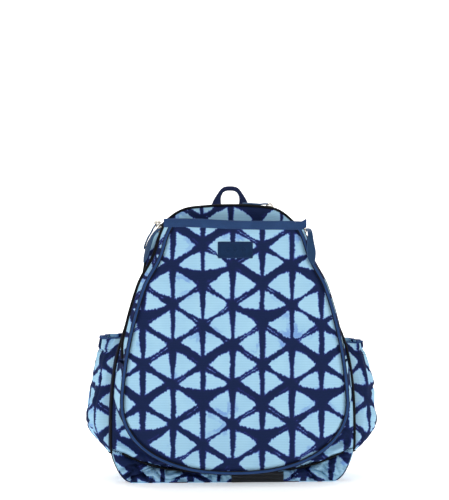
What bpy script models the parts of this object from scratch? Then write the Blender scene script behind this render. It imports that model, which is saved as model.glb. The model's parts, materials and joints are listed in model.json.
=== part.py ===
"""Racket backpack: a soft body with a zipped racket sleeve on its front, two side pockets,
a padded back with two shoulder straps, and a webbing carry handle.

Frame: +Z up, the front faces -Y, the origin is on the floor under the middle of the bag.
All sizes are in metres. Paths are lists of (x, z) points that run anticlockwise seen from
the front, so that a positive offset moves them outward.
"""
import math

import bmesh
import bpy
from mathutils import Vector

GAP = 0.0003                    # clearance between neighbours that touch

# Body outline, seen from the front
BASE_HALF = 0.187               # half width at the seam above the base
BASE_SEAM = 0.045               # height of that seam at the sides
BASE_CORNER = 0.030             # how far the base corners reach in
SHOULDER_HALF = 0.134           # half width where the shoulder arcs start
SHOULDER_Z = 0.3475
CORNER_R = 0.074                # radius of the shoulder arcs
TOP_R = 0.551                   # radius of the long arc across the top
SIDE_POWER = 1.8                # how late the sides lean in
REAR_X = 0.955                  # the back outline against the front one
REAR_Z = 0.942
DOOR_Z = 0.050                  # hinge line of the front door

# Racket sleeve outline, seen from the front (outer edge of its binding)
SLEEVE_R = 0.6335               # radius of each long side
SLEEVE_CX = -0.4603             # centre of the right side's arc
SLEEVE_CZ = 0.0945
SLEEVE_LOW = 0.130              # below this the outline is a rounded bowl
SLEEVE_BOTTOM = 0.0195
SLEEVE_POWER = 2.25
SLEEVE_TOP = 0.3925
WAIST_Z = 0.345                 # the sides are drawn in a little around this height
WAIST_REACH = 0.045
WAIST_DEPTH = 0.006
FLAP_Z = 0.188                  # hinge line of the upper panel
SEAM_RISE = 0.002               # how far above a hinge line the cloth beside it starts
BIND_W = 0.004

# Layers, front to back
PANEL_Y = (-0.1080, -0.1003)
BINDING_Y = (-0.1090, -0.1003)
FLAP_GUSSET_Y = (-0.1000, -0.0880)
FLAP_TAPE_Y = (-0.0875, -0.0825)
DOOR_TAPE_Y = (-0.0809, -0.0759)
DOOR_GUSSET_Y = (-0.0755, -0.0635)
WALL_Y = (-0.0630, -0.0580)
MAIN_TAPE_FRONT_Y = (-0.0577, -0.0527)
MAIN_TAPE_REAR_Y = (-0.0511, -0.0461)
BODY_Y = (-0.0458, 0.0717)
BACK_Y = (0.0720, 0.0880)
PAD_Y = (0.0883, 0.0925)
PULL_Y = -0.1111                # the pull that hangs in front of the sleeve

FABRIC = 0.0025                 # quilted body fabric
THIN = 0.0012                   # gusset fabric
ZIP_OUT = 0.001                 # how far the zip line stands outside the sleeve arc
FLARE = 0.006                   # how far the sleeve gusset spreads towards the body

# Trim on the sleeve and the base: half widths, and lowest and highest z
BAND_HALF = 0.1065
BAND_Y = (-0.1095, -0.0995)
BAND_TOP = 0.4015
LABEL_HALF = 0.026
LABEL_Z = (0.3445, 0.3695)
LABEL_FRONT = -0.1098
RIB_PATCH_X = (-0.003, 0.077)
RIB_PATCH_Z = (0.001, 0.0175)
BASE_WALL = 0.003
BOARD_HALF = 0.145
BOARD_Y = (-0.052, 0.066)
BOARD_Z = (0.0034, 0.0054)

# Side pockets
POCKET_Y = (-0.050, 0.066)
POCKET_BOTTOM = 0.046
POCKET_HEM = 0.200
POCKET_TOP = 0.222
POCKET_WALL = 0.002
POCKET_FOOT_HALF = 0.192        # half width over both pockets at their bottom seam
POCKET_BELLY_HALF = 0.228       # and at their fullest
POCKET_BELLY_Z = 0.092
POCKET_LEAN = 0.021             # how far the top edge leans back in
RECESS = 0.030                  # how far the side yields behind a pocket
RECESS_Z = (0.040, 0.290)

# Zip sliders and pulls
SLIDER_L = 0.011
SLIDER_W = 0.008
SLIDER_H = 0.003
SLIDER_LIFT = 0.0012
POST_L = 0.006
POST_W = 0.0010
FRONT_SLIDER_Z = 0.385
MAIN_LEFT_DEG = 138.0           # place of the left main slider on the left shoulder arc
MAIN_TOP_X = 0.060              # place of the other main slider on the top arc
MAIN_LEFT_SWEEP_DEG = 34.0      # how much of the shoulder arc its pull covers
PULL_LENGTH = 0.045
PULL_LIFT = 0.0014              # height of a pull over its slider
HANG_OUT = 0.009                # how far outside the zip a front pull hangs
PULL_WIDTH = (0.004, 0.009, 0.0095, 0.0135, 0.015, 0.0125, 0.003)
PULL_T = 0.0018
# The right front pull comes forward over the sleeve's edge: x and z from its pivot, and y
FORWARD_ROUTE = (
    (0.0, -0.0837, 0.0), (0.0005, -0.098, 0.001), (0.0013, -0.1085, 0.0005), (0.0025, PULL_Y, -0.003),
    (0.0035, PULL_Y, -0.016), (0.0046, PULL_Y, -0.032), (0.0055, PULL_Y, -0.044), (0.0062, PULL_Y, -0.053),
)
FORWARD_WIDTH = (0.003, 0.003, 0.006, 0.009, 0.0105, 0.015, 0.0115, 0.002)
# The left front pull hangs beside the sleeve: how far out and down from its pivot
DROP_ROUTE = (
    (0.0, 0.0), (0.006, 0.003), (0.011, 0.010), (0.015, 0.024), (0.018, 0.036), (0.020, 0.045), (0.022, 0.053),
)

# Handle and straps
HANDLE_BASE = (0.080, 0.4028)   # y and z of its hinge line
HANDLE_HALF = 0.022
HANDLE_RISE = 0.056
HANDLE_FLAT = (0.0075, 0.0015)  # half sizes of the flat ends: along the arch's radius, and along y
HANDLE_GRIP = (0.003, 0.006)    # and of the folded grip
STRAP_TOP = 0.388
STRAP_END = 0.128
STRAP_Y = 0.1015
STRAP_BOW = 0.0055
STRAP_T = 0.010
STRAP_X = 0.052
STRAP_SWAY = 0.030              # how far the strap bends outward on its way down
STRAP_W = 0.058
STRAP_SWELL = 0.006             # extra width at mid length
STRAP_TAPER = 0.022             # and how much narrower it ends
LOCK_Z = (0.101, 0.126)
LOCK_HALF = (0.018, 0.0125)
LOCK_SLOT = (0.013, 0.006)
LOCK_T = 0.006
WEB_W = 0.022
WEB_T = 0.0016
TRIM_T = 0.002
# Outline of the right wing, where the adjustment webbing is sewn on
WING = ((0.128, 0.030), (0.168, 0.034), (0.170, 0.072), (0.150, 0.066))
# Pads on the back: half width, lowest and highest z
YOKE = (0.092, 0.345, 0.3855)
PAD_UPPER = (0.105, 0.225, 0.3445)
PAD_LOWER = (0.115, 0.070, 0.2200)
ANCHOR = (0.040, 0.3860, 0.3985)

# name: (colour, roughness, metallic)
FINISHES = {
    "printed_fabric": ((0.12, 0.26, 0.55), 0.85, 0.0),
    "navy_binding": ((0.030, 0.075, 0.20), 0.7, 0.0),
    "navy_leather": ((0.025, 0.055, 0.12), 0.5, 0.0),
    "navy_webbing": ((0.018, 0.028, 0.08), 0.8, 0.0),
    "zip_tape": ((0.010, 0.010, 0.014), 0.8, 0.0),
    "zip_metal": ((0.62, 0.58, 0.50), 0.3, 1.0),
    "black_mesh": ((0.015, 0.016, 0.02), 0.9, 0.0),
    "black_plastic": ((0.012, 0.012, 0.013), 0.45, 0.0),
    "stiff_board": ((0.20, 0.20, 0.21), 0.6, 0.0),
}


# ---------------------------------------------------------------- outlines

def sleeve_arc(z, grow=0.0):
    """Half width of the arc that the sleeve's side and its zip follow."""
    return SLEEVE_CX + math.sqrt((SLEEVE_R + grow) ** 2 - (z - SLEEVE_CZ) ** 2)


def sleeve_half(z):
    """Half width of the sleeve's side at height z, drawn in a little at its waist."""
    away = min(1.0, abs(z - WAIST_Z) / WAIST_REACH)
    return sleeve_arc(z) - WAIST_DEPTH * math.cos(away * math.pi / 2) ** 2


def spread(low, high, count):
    return [low + (high - low) * i / (count - 1) for i in range(count)]


def mirror(path):
    return [(-x, z) for x, z in reversed(path)]


def sleeve_side(low, high, count=12):
    return [(sleeve_half(z), z) for z in spread(low, high, count)]


def zip_side(low, high, count=12):
    return [(sleeve_arc(z, ZIP_OUT), z) for z in spread(low, high, count)]


def sleeve_bowl(top, count=9):
    """The sleeve's lower outline, from its left side down and round to its right side."""
    half = sleeve_half(SLEEVE_LOW)
    drop = SLEEVE_LOW - SLEEVE_BOTTOM
    right = []
    for angle in spread(0.0, math.pi / 2, count):
        x = half * math.sin(angle) ** (2 / SLEEVE_POWER)
        z = SLEEVE_LOW - drop * math.cos(angle) ** (2 / SLEEVE_POWER)
        right.append((x, z))
    right += sleeve_side(SLEEVE_LOW, top, 4)[1:]
    return mirror(right)[:-1] + right


def body_half(z):
    """Half width of the body between its base seam and its shoulders."""
    t = (z - BASE_SEAM) / (SHOULDER_Z - BASE_SEAM)
    lean = (1 - math.cos(math.pi * max(t, 0.0) ** SIDE_POWER)) / 2
    return BASE_HALF - (BASE_HALF - SHOULDER_HALF) * lean


def body_side(low, high, count=10):
    return [(body_half(z), z) for z in spread(low, high, count)]


CORNER_X = SHOULDER_HALF - CORNER_R
TOP_CZ = SHOULDER_Z - math.sqrt((TOP_R - CORNER_R) ** 2 - CORNER_X ** 2)
CORNER_SWEEP = math.atan2(SHOULDER_Z - TOP_CZ, CORNER_X)


def body_arch(first=0.0, corner_count=7, top_count=8):
    """Over the top from the right shoulder to the left one."""
    right = []
    for angle in spread(first, CORNER_SWEEP, corner_count):
        right.append((CORNER_X + CORNER_R * math.cos(angle), SHOULDER_Z + CORNER_R * math.sin(angle)))
    for angle in spread(CORNER_SWEEP, math.pi / 2, top_count)[1:]:
        right.append((TOP_R * math.cos(angle), TOP_CZ + TOP_R * math.sin(angle)))
    right[-1] = (0.0, TOP_CZ + TOP_R)
    return right[:-1] + mirror(right)


def base_bowl(top, count=6):
    """Round the base from its left seam to its right seam, flat underneath."""
    right = [(0.0, 0.0)]
    for angle in spread(0.0, math.asin(top / BASE_SEAM - 1) + math.pi / 2, count):
        x = BASE_HALF - BASE_CORNER + BASE_CORNER * math.sin(angle)
        right.append((x, BASE_SEAM * (1 - math.cos(angle))))
    return mirror(right)[:-1] + right


def rear(path):
    return [(x * REAR_X, z * REAR_Z) for x, z in path]


def offset(path, distance):
    """Moves a path sideways by a distance, outward when it is positive."""
    moved = []
    for i, (x, z) in enumerate(path):
        before = path[max(i - 1, 0)]
        after = path[min(i + 1, len(path) - 1)]
        along = Vector((after[0] - before[0], after[1] - before[1])).normalized()
        moved.append((x + along.y * distance, z - along.x * distance))
    return moved


# ---------------------------------------------------------------- solids

def finish(name):
    """The piece's material, made once."""
    material = bpy.data.materials.get(name)
    if material is None:
        colour, roughness, metallic = FINISHES[name]
        material = bpy.data.materials.new(name)
        material.use_nodes = True
        shader = material.node_tree.nodes["Principled BSDF"]
        shader.inputs["Base Color"].default_value = (*colour, 1.0)
        shader.inputs["Roughness"].default_value = roughness
        shader.inputs["Metallic"].default_value = metallic
    return material


def add_piece(name, mesh_builder, slot, pivot=(0.0, 0.0, 0.0)):
    """Makes an object from a bmesh, with its origin at the pivot."""
    bmesh.ops.recalc_face_normals(mesh_builder, faces=mesh_builder.faces)
    bmesh.ops.translate(mesh_builder, vec=-Vector(pivot), verts=mesh_builder.verts)
    mesh = bpy.data.meshes.new(name)
    mesh_builder.to_mesh(mesh)
    mesh_builder.free()
    piece = bpy.data.objects.new(name, mesh)
    piece.location = pivot
    bpy.context.collection.objects.link(piece)
    mesh.shade_smooth()
    mesh.set_sharp_from_angle(angle=math.radians(35))
    mesh.materials.append(finish(slot))
    return piece


def skin(name, sections, slot, pivot=(0.0, 0.0, 0.0)):
    """A closed solid through a row of loops that have the same number of points."""
    shape = bmesh.new()
    loops = [[shape.verts.new(point) for point in section] for section in sections]
    for near, far in zip(loops, loops[1:]):
        for i in range(len(near)):
            j = (i + 1) % len(near)
            shape.faces.new((near[i], near[j], far[j], far[i]))
    shape.faces.new(loops[0])
    shape.faces.new(list(reversed(loops[-1])))
    return add_piece(name, shape, slot, pivot)


def plate(name, outline, y_range, slot, pivot=(0.0, 0.0, 0.0)):
    """A flat sheet of the given outline, with its thickness along Y."""
    front, back = y_range
    return skin(name, [[(x, y, z) for x, z in outline] for y in (front, back)], slot, pivot)


def box(name, x_range, y_range, z_range, slot):
    left, right = x_range
    low, high = z_range
    return plate(name, [(left, low), (right, low), (right, high), (left, high)], y_range, slot)


def strip(name, front_path, rear_path, y_range, thickness, slot):
    """A sheet along a path, from its front edge to its rear edge, its outer face on the paths."""
    front_in = offset(front_path, -thickness)
    rear_in = offset(rear_path, -thickness)
    y_front, y_rear = y_range
    sections = []
    for a, b, c, d in zip(front_path, rear_path, rear_in, front_in):
        sections.append([
            (a[0], y_front, a[1]),
            (b[0], y_rear, b[1]),
            (c[0], y_rear, c[1]),
            (d[0], y_front, d[1]),
        ])
    return skin(name, sections, slot)


def tape(name, points, widths, thickness, across, slot, pivot=(0.0, 0.0, 0.0)):
    """A flat tape through a row of points, its width along the axis across."""
    across = Vector(across)
    points = [Vector(point) for point in points]
    sections = []
    for i, point in enumerate(points):
        along = points[min(i + 1, len(points) - 1)] - points[max(i - 1, 0)]
        through = along.cross(across).normalized() * thickness / 2
        side = across * widths[i] / 2
        sections.append([point + through + side, point - through + side,
                         point - through - side, point + through - side])
    return skin(name, sections, slot, pivot)


def ring(name, centre, outer, inner, y_range, slot, pivot):
    """A rectangular frame with a rectangular hole, its thickness along Y."""
    shape = bmesh.new()
    corners = []
    for half in (outer, inner):
        for y in y_range:
            for sx, sz in ((-1, -1), (1, -1), (1, 1), (-1, 1)):
                corners.append(shape.verts.new((centre[0] + sx * half[0], y, centre[1] + sz * half[1])))
    for i in range(4):
        j = (i + 1) % 4
        for a, b in ((0, 4), (12, 8), (8, 0), (4, 12)):
            shape.faces.new((corners[a + i], corners[a + j], corners[b + j], corners[b + i]))
    return add_piece(name, shape, slot, pivot)


# ---------------------------------------------------------------- body

def pocket_span(z):
    """How far the side yields at height z behind a pocket, from 0 to 1."""
    low, high = RECESS_Z
    t = (z - low) / (high - low)
    return math.sin(math.pi * t) ** 2 if 0 < t < 1 else 0.0


def side_half(y, z):
    """Half width of the side panel's outer face at depth y; z is the front edge's height."""
    share = (y - BODY_Y[0]) / (BODY_Y[1] - BODY_Y[0])
    full = body_half(z) * (1 + (REAR_X - 1) * share)
    t = (y - POCKET_Y[0]) / (POCKET_Y[1] - POCKET_Y[0])
    inward = math.sin(math.pi * min(max(t, 0.0), 1.0)) ** 2
    return full - RECESS * inward * pocket_span(z)


def make_sides():
    heights = spread(BASE_SEAM, SHOULDER_Z, 12)
    depths = spread(BODY_Y[0], BODY_Y[1], 9)
    for name, sign in (("side_panel_right", 1), ("side_panel_left", -1)):
        sections = []
        for z in heights:
            outer = []
            inner = []
            for y in depths:
                share = (y - BODY_Y[0]) / (BODY_Y[1] - BODY_Y[0])
                height = z * (1 + (REAR_Z - 1) * share)
                outer.append((sign * side_half(y, z), y, height))
                inner.append((sign * (side_half(y, z) - FABRIC), y, height))
            sections.append(outer + inner[::-1])
        skin(name, sections, "printed_fabric")


def make_shell():
    arch = body_arch(3 * GAP / CORNER_R)
    strip("roof_panel", arch, rear(arch), BODY_Y, FABRIC, "printed_fabric")
    bowl = base_bowl(BASE_SEAM - GAP)
    strip("base_panel", bowl, rear(bowl), (WALL_Y[1] + GAP, BODY_Y[1]), BASE_WALL, "printed_fabric")
    plate("base_front", base_bowl(BASE_SEAM) + [(body_half(DOOR_Z - GAP), DOOR_Z - GAP),
                                                (-body_half(DOOR_Z - GAP), DOOR_Z - GAP)],
          WALL_Y, "printed_fabric")
    outline = rear(base_bowl(BASE_SEAM) + body_side(BASE_SEAM, SHOULDER_Z)[1:-1] + body_arch()
                   + mirror(body_side(BASE_SEAM, SHOULDER_Z)[1:-1]))
    plate("back_panel", outline, BACK_Y, "black_mesh")
    box("base_board", (-BOARD_HALF, BOARD_HALF), BOARD_Y, BOARD_Z, "stiff_board")
    box("base_rib_patch", RIB_PATCH_X, (WALL_Y[0] - 0.0018, WALL_Y[0] - GAP), RIB_PATCH_Z, "black_mesh")
    door_run = body_side(DOOR_Z + GAP, SHOULDER_Z, 9)[:-1]
    run = door_run + body_arch() + mirror(door_run)
    strip("main_zip_tape_rear", run, run, MAIN_TAPE_REAR_Y, 0.001, "zip_tape")
    strip("main_zip_tape_front", run, run, MAIN_TAPE_FRONT_Y, 0.001, "zip_tape")
    plate("front_wall", run, WALL_Y, "printed_fabric")


def pocket_half(z):
    """Half width of the pocket's outermost line at height z."""
    if z < POCKET_BELLY_Z:
        t = (z - POCKET_BOTTOM) / (POCKET_BELLY_Z - POCKET_BOTTOM)
        return POCKET_FOOT_HALF + (POCKET_BELLY_HALF - POCKET_FOOT_HALF) * math.sin(t * math.pi / 2) ** 0.8
    t = (z - POCKET_BELLY_Z) / (POCKET_TOP - POCKET_BELLY_Z)
    return POCKET_BELLY_HALF - POCKET_LEAN * t ** 1.6


def pocket_section(z, sign, count=11):
    """The pocket's wall at height z: out and round from the front seam to the rear one, and back."""
    y_mid = sum(POCKET_Y) / 2
    reach = (POCKET_Y[1] - POCKET_Y[0]) / 2
    outer = []
    inner = []
    for t in spread(0.0, 1.0, count):
        for wall, shrink in ((outer, 0.0), (inner, POCKET_WALL)):
            y = y_mid - (reach - shrink) * math.cos(math.pi * t)
            root = side_half(min(max(y, BODY_Y[0]), BODY_Y[1]), z) + 0.0006
            bulge = pocket_half(z) - shrink - body_half(z)
            x = body_half(z) + bulge * math.sin(math.pi * t) ** 0.55
            wall.append((sign * (root if t in (0.0, 1.0) else max(x, root)), y, z))
    return outer + inner[::-1]


def make_pockets():
    walls = spread(POCKET_BOTTOM, POCKET_BELLY_Z, 6) + spread(POCKET_BELLY_Z, POCKET_HEM, 6)[1:]
    hems = spread(POCKET_HEM + GAP, POCKET_TOP, 3)
    for side, sign in (("right", 1), ("left", -1)):
        skin(f"pocket_{side}", [pocket_section(z, sign) for z in walls], "printed_fabric")
        skin(f"pocket_hem_{side}", [pocket_section(z, sign) for z in hems], "printed_fabric")


# ---------------------------------------------------------------- racket sleeve

def make_sleeve():
    bowl = sleeve_bowl(FLAP_Z - GAP)
    plate("racket_panel_lower", offset(bowl, -BIND_W - GAP), PANEL_Y, "printed_fabric")
    strip("panel_binding_lower", bowl, bowl, BINDING_Y, BIND_W, "navy_binding")
    side = sleeve_side(FLAP_Z + GAP, SLEEVE_TOP)
    inset = offset(side, -BIND_W - GAP)
    plate("racket_panel_upper", inset + mirror(inset), PANEL_Y, "printed_fabric")
    box("top_band", (-BAND_HALF, BAND_HALF), BAND_Y, (SLEEVE_TOP + 0.0005, BAND_TOP), "navy_binding")
    box("label_patch", (-LABEL_HALF, LABEL_HALF), (LABEL_FRONT, PANEL_Y[0] - GAP), LABEL_Z, "navy_leather")
    lift = (FLAP_Z - DOOR_Z - SEAM_RISE) / (FLAP_Z - SLEEVE_BOTTOM + FLARE)
    spread_bowl = [(x, FLAP_Z - (FLAP_Z - z) * lift) for x, z in offset(bowl, FLARE)]
    strip("sleeve_gusset_lower", offset(bowl, -THIN), spread_bowl,
          (FLAP_GUSSET_Y[0], DOOR_GUSSET_Y[1]), THIN, "printed_fabric")
    zip_low = FLAP_Z + SEAM_RISE
    edge = sleeve_side(zip_low, SLEEVE_TOP)
    line = zip_side(zip_low, SLEEVE_TOP)
    for name, turn in (("right", list), ("left", mirror)):
        strip(f"panel_binding_{name}", turn(side), turn(side), BINDING_Y, BIND_W, "navy_binding")
        strip(f"flap_gusset_{name}", offset(turn(edge), -THIN), turn(line), FLAP_GUSSET_Y, THIN,
              "printed_fabric")
        strip(f"flap_zip_tape_{name}", turn(line), turn(line), FLAP_TAPE_Y, 0.001, "zip_tape")
        strip(f"door_zip_tape_{name}", turn(line), turn(line), DOOR_TAPE_Y, 0.001, "zip_tape")
        strip(f"door_gusset_{name}", turn(line), offset(turn(line), FLARE), DOOR_GUSSET_Y, THIN,
              "printed_fabric")


# ---------------------------------------------------------------- zip sliders

def slider(name, centre, radius, angle, y_mid, pivot):
    """A slider on a curved zip: a post through the gap between the tapes and a plate outside."""
    out = Vector((math.cos(angle), 0.0, math.sin(angle)))
    along = Vector((-math.sin(angle), 0.0, math.cos(angle)))
    middle = Vector((centre[0], y_mid, centre[1]))
    sections = []
    for height, length, width in ((-0.0015, POST_L, POST_W), (SLIDER_LIFT, POST_L, POST_W),
                                  (SLIDER_LIFT, SLIDER_L, SLIDER_W),
                                  (SLIDER_LIFT + SLIDER_H, SLIDER_L * 0.8, SLIDER_W * 0.75)):
        at = middle + out * (radius + height)
        sections.append([at + along * sx * length / 2 + Vector((0.0, sy * width / 2, 0.0))
                         for sx, sy in ((-1, -1), (1, -1), (1, 1), (-1, 1))])
    return skin(name, sections, "zip_metal", pivot)


def arc_pull(name, centre, radius, start, end, y_mid):
    """A leather pull that lies along a curved zip; its pivot is its first point."""
    points = []
    for angle in spread(start, end, len(PULL_WIDTH)):
        points.append((centre[0] + radius * math.cos(angle), y_mid, centre[1] + radius * math.sin(angle)))
    return tape(name, points, PULL_WIDTH, PULL_T, (0, 1, 0), "navy_leather", points[0])


def make_sliders():
    front_y = (FLAP_TAPE_Y[1] + DOOR_TAPE_Y[0]) / 2
    line_r = SLEEVE_R + ZIP_OUT
    rise = math.asin((FRONT_SLIDER_Z - SLEEVE_CZ) / line_r)
    hang_r = line_r + HANG_OUT
    hang = (SLEEVE_CX + hang_r * math.cos(rise), SLEEVE_CZ + hang_r * math.sin(rise))
    right_centre = (SLEEVE_CX, SLEEVE_CZ)
    left_centre = (-SLEEVE_CX, SLEEVE_CZ)
    slider("front_slider_right", right_centre, line_r, rise, front_y, (*right_centre, 0.0))
    slider("front_slider_left", left_centre, line_r, math.pi - rise, front_y, (*left_centre, 0.0))
    x, z = hang
    forward = [(x + dx, y, z + dz) for dx, y, dz in FORWARD_ROUTE]
    tape("front_pull_right", forward, FORWARD_WIDTH, PULL_T, (1, 0, 0), "navy_leather", forward[0])
    drop = [(-x - out, front_y, z - down) for out, down in DROP_ROUTE]
    tape("front_pull_left", drop, PULL_WIDTH, PULL_T, (0, 1, 0), "navy_leather", drop[0])

    main_y = (MAIN_TAPE_FRONT_Y[1] + MAIN_TAPE_REAR_Y[0]) / 2
    left_angle = math.radians(MAIN_LEFT_DEG)
    corner = (-CORNER_X, SHOULDER_Z)
    slider("main_slider_left", corner, CORNER_R, left_angle, main_y, (*corner, 0.0))
    lifted = SLIDER_LIFT + SLIDER_H + PULL_LIFT
    left_end = left_angle + math.radians(MAIN_LEFT_SWEEP_DEG)
    arc_pull("main_pull_left", corner, CORNER_R + lifted, left_angle, left_end, main_y)
    top = (0.0, TOP_CZ)
    top_angle = math.acos(MAIN_TOP_X / TOP_R)
    slider("main_slider_top", top, TOP_R, top_angle, main_y, (*top, 0.0))
    arc_pull("main_pull_top", top, TOP_R + lifted, top_angle, top_angle + PULL_LENGTH / TOP_R, main_y)


# ---------------------------------------------------------------- handle and straps

def make_handle():
    hinge_y, hinge_z = HANDLE_BASE
    sections = []
    for t in spread(0.0, math.pi, 17):
        rise = math.sin(t)
        radial = HANDLE_FLAT[0] + (HANDLE_GRIP[0] - HANDLE_FLAT[0]) * rise
        deep = HANDLE_FLAT[1] + (HANDLE_GRIP[1] - HANDLE_FLAT[1]) * rise
        centre = Vector((HANDLE_HALF * math.cos(t), hinge_y, hinge_z + HANDLE_RISE * rise ** 0.85))
        out = Vector((math.cos(t), 0.0, math.sin(t)))
        loop = []
        for k in range(8):
            around = math.radians(22.5 + 45 * k)
            loop.append(centre + out * radial * math.cos(around) / math.cos(math.radians(22.5))
                        + Vector((0.0, deep * math.sin(around) / math.cos(math.radians(22.5)), 0.0)))
        sections.append(loop)
    skin("carry_handle", sections, "navy_webbing", (0.0, hinge_y, hinge_z))
    half, low, high = ANCHOR
    box("handle_anchor", (-half, half), (PAD_Y[0], PAD_Y[0] + TRIM_T), (low, high), "navy_webbing")


def make_straps():
    for name, (half, low, high), slot in (("strap_yoke", YOKE, "navy_binding"),
                                          ("back_pad_upper", PAD_UPPER, "black_mesh"),
                                          ("back_pad_lower", PAD_LOWER, "black_mesh")):
        box(name, (-half, half), PAD_Y, (low, high), slot)
    steps = spread(0.0, 1.0, 12)
    for side, sign in (("right", 1), ("left", -1)):
        points = []
        widths = []
        for t in steps:
            x = sign * (STRAP_X + STRAP_SWAY * math.sin(math.pi * t * 0.75))
            points.append((x, STRAP_Y + STRAP_BOW * math.sin(math.pi * t), STRAP_TOP
                           + (STRAP_END - STRAP_TOP) * t))
            widths.append(STRAP_W + STRAP_SWELL * math.sin(math.pi * t) - STRAP_TAPER * t ** 3)
        pivot = (0.0, STRAP_Y - 0.004, STRAP_TOP)
        tape(f"shoulder_strap_{side}", points, widths, STRAP_T, (1, 0, 0), "navy_binding", pivot)
        low = points[-1]
        ring(f"ladder_lock_{side}", (low[0], sum(LOCK_Z) / 2), LOCK_HALF, LOCK_SLOT,
             (STRAP_Y - LOCK_T / 2, STRAP_Y + LOCK_T / 2), "black_plastic", pivot)
        wing = list(WING) if sign > 0 else mirror(WING)
        plate(f"strap_wing_{side}", wing, (PAD_Y[0], PAD_Y[0] + TRIM_T), "printed_fabric")
        web = [(sign * 0.150, 0.0925, 0.046), (sign * 0.134, 0.0965, 0.058),
               (sign * 0.112, STRAP_Y, 0.076), (sign * (abs(low[0]) + 0.006), STRAP_Y, 0.0995)]
        tape(f"strap_webbing_{side}", web, [WEB_W] * len(web), WEB_T, (1, 0, 0), "navy_webbing")


def main():
    for old in list(bpy.data.objects):
        bpy.data.objects.remove(old, do_unlink=True)
    make_sides()
    make_shell()
    make_pockets()
    make_sleeve()
    make_sliders()
    make_handle()
    make_straps()


main()
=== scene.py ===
"""Looks of the racket backpack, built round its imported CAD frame. Metres, +Z up, the front faces -Y."""
import json
import math

import bmesh
import bpy
import numpy as np
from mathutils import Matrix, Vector, noise

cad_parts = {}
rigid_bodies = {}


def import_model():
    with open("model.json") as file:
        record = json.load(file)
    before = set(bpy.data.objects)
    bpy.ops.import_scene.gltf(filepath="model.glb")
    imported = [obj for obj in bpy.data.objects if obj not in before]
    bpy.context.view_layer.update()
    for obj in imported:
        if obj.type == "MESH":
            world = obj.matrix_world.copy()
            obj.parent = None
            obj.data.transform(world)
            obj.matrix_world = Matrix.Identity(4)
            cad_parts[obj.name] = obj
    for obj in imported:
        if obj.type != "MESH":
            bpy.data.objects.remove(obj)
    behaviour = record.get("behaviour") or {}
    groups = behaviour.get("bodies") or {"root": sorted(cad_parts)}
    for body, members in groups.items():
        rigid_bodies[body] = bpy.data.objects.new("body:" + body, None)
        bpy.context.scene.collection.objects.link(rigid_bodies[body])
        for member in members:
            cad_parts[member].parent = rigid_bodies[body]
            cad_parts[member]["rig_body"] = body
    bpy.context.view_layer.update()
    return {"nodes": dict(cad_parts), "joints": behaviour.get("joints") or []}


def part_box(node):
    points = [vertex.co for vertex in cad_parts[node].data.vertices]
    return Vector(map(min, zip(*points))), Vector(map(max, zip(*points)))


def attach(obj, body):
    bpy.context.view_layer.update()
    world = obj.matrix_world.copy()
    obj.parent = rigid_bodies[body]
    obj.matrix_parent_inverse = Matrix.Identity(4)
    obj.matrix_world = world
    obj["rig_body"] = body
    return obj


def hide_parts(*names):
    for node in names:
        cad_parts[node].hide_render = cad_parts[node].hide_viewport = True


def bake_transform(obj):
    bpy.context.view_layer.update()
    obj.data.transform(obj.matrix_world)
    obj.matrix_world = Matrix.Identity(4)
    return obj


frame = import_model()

# ------------------------------------------------------------------ places read from the frame
PANEL_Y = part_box("racket_panel_lower")[0].y     # front face of the racket panel
WALL_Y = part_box("front_wall")[0].y              # front face of the body
SLEEVE_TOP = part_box("panel_binding_right")[1].z
POCKET_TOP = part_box("pocket_hem_right")[1].z
BOWL_LOW, BOWL_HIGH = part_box("panel_binding_lower")
BAND_LOW, BAND_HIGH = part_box("top_band")
LABEL_LOW, LABEL_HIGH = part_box("label_patch")
BACK_LOW, BACK_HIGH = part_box("back_panel")
POCKET_LOW, POCKET_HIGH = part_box("pocket_right")
PATCH_LOW, PATCH_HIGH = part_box("base_rib_patch")
FLAP_TAPE, DOOR_TAPE, MAIN_FRONT, MAIN_REAR = (
    [corner.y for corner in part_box(node)]
    for node in ("flap_zip_tape_right", "door_zip_tape_right", "main_zip_tape_front", "main_zip_tape_rear"))
PLACE = {joint["name"]: joint["pos_m"] for joint in frame["joints"]}

# ------------------------------------------------------------------ outlines, as the CAD has them
FLAP_Z = 0.188                          # fold of the racket flap
DOOR_Z = PLACE["front_door_hinge"][2]   # fold of the front door
SLEEVE_R = 0.6335                       # arc of the sleeve's sides
SLEEVE_CX, _, SLEEVE_CZ = PLACE["front_slider_right_travel"]
SLEEVE_LOW = 0.130                      # where those arcs meet the rounded bottom
SLEEVE_POWER = 2.25
WAIST_Z, WAIST_REACH, WAIST_DEPTH = 0.345, 0.045, 0.006
BASE_HALF, BASE_SEAM, BASE_CORNER = 0.187, 0.045, 0.030
SHOULDER_HALF, SHOULDER_Z, CORNER_R, TOP_R = 0.134, 0.3475, 0.074, 0.551
SIDE_POWER = 1.8
REAR_X, REAR_Z = 0.955, 0.942           # size of the rear outline, as a share of the front one
CORNER_X = SHOULDER_HALF - CORNER_R
TOP_CZ = PLACE["main_slider_top_travel"][2]
CORNER_SWEEP = math.atan2(SHOULDER_Z - TOP_CZ, CORNER_X)
POCKET_Y = (POCKET_LOW.y, POCKET_HIGH.y)
RECESS, RECESS_Z = 0.030, (0.040, 0.290)    # the side walls bend in behind the pockets
SHELL_Y = (-0.0450, BACK_LOW.y + 0.0058)    # front and rear edge of the side walls and roof
SHELL_STEP, GUSSET_STEP = 0.0035, 0.004     # lengths of mesh faces along the outline
SIDES = (("right", 1), ("left", -1))


def sleeve_half(z):
    """Half the sleeve's width at a height: an arc with a shallow waist."""
    away = np.minimum(1.0, np.abs(z - WAIST_Z) / WAIST_REACH)
    arc = SLEEVE_CX + np.sqrt(SLEEVE_R ** 2 - (z - SLEEVE_CZ) ** 2)
    return arc - WAIST_DEPTH * np.cos(away * math.pi / 2) ** 2


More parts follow.
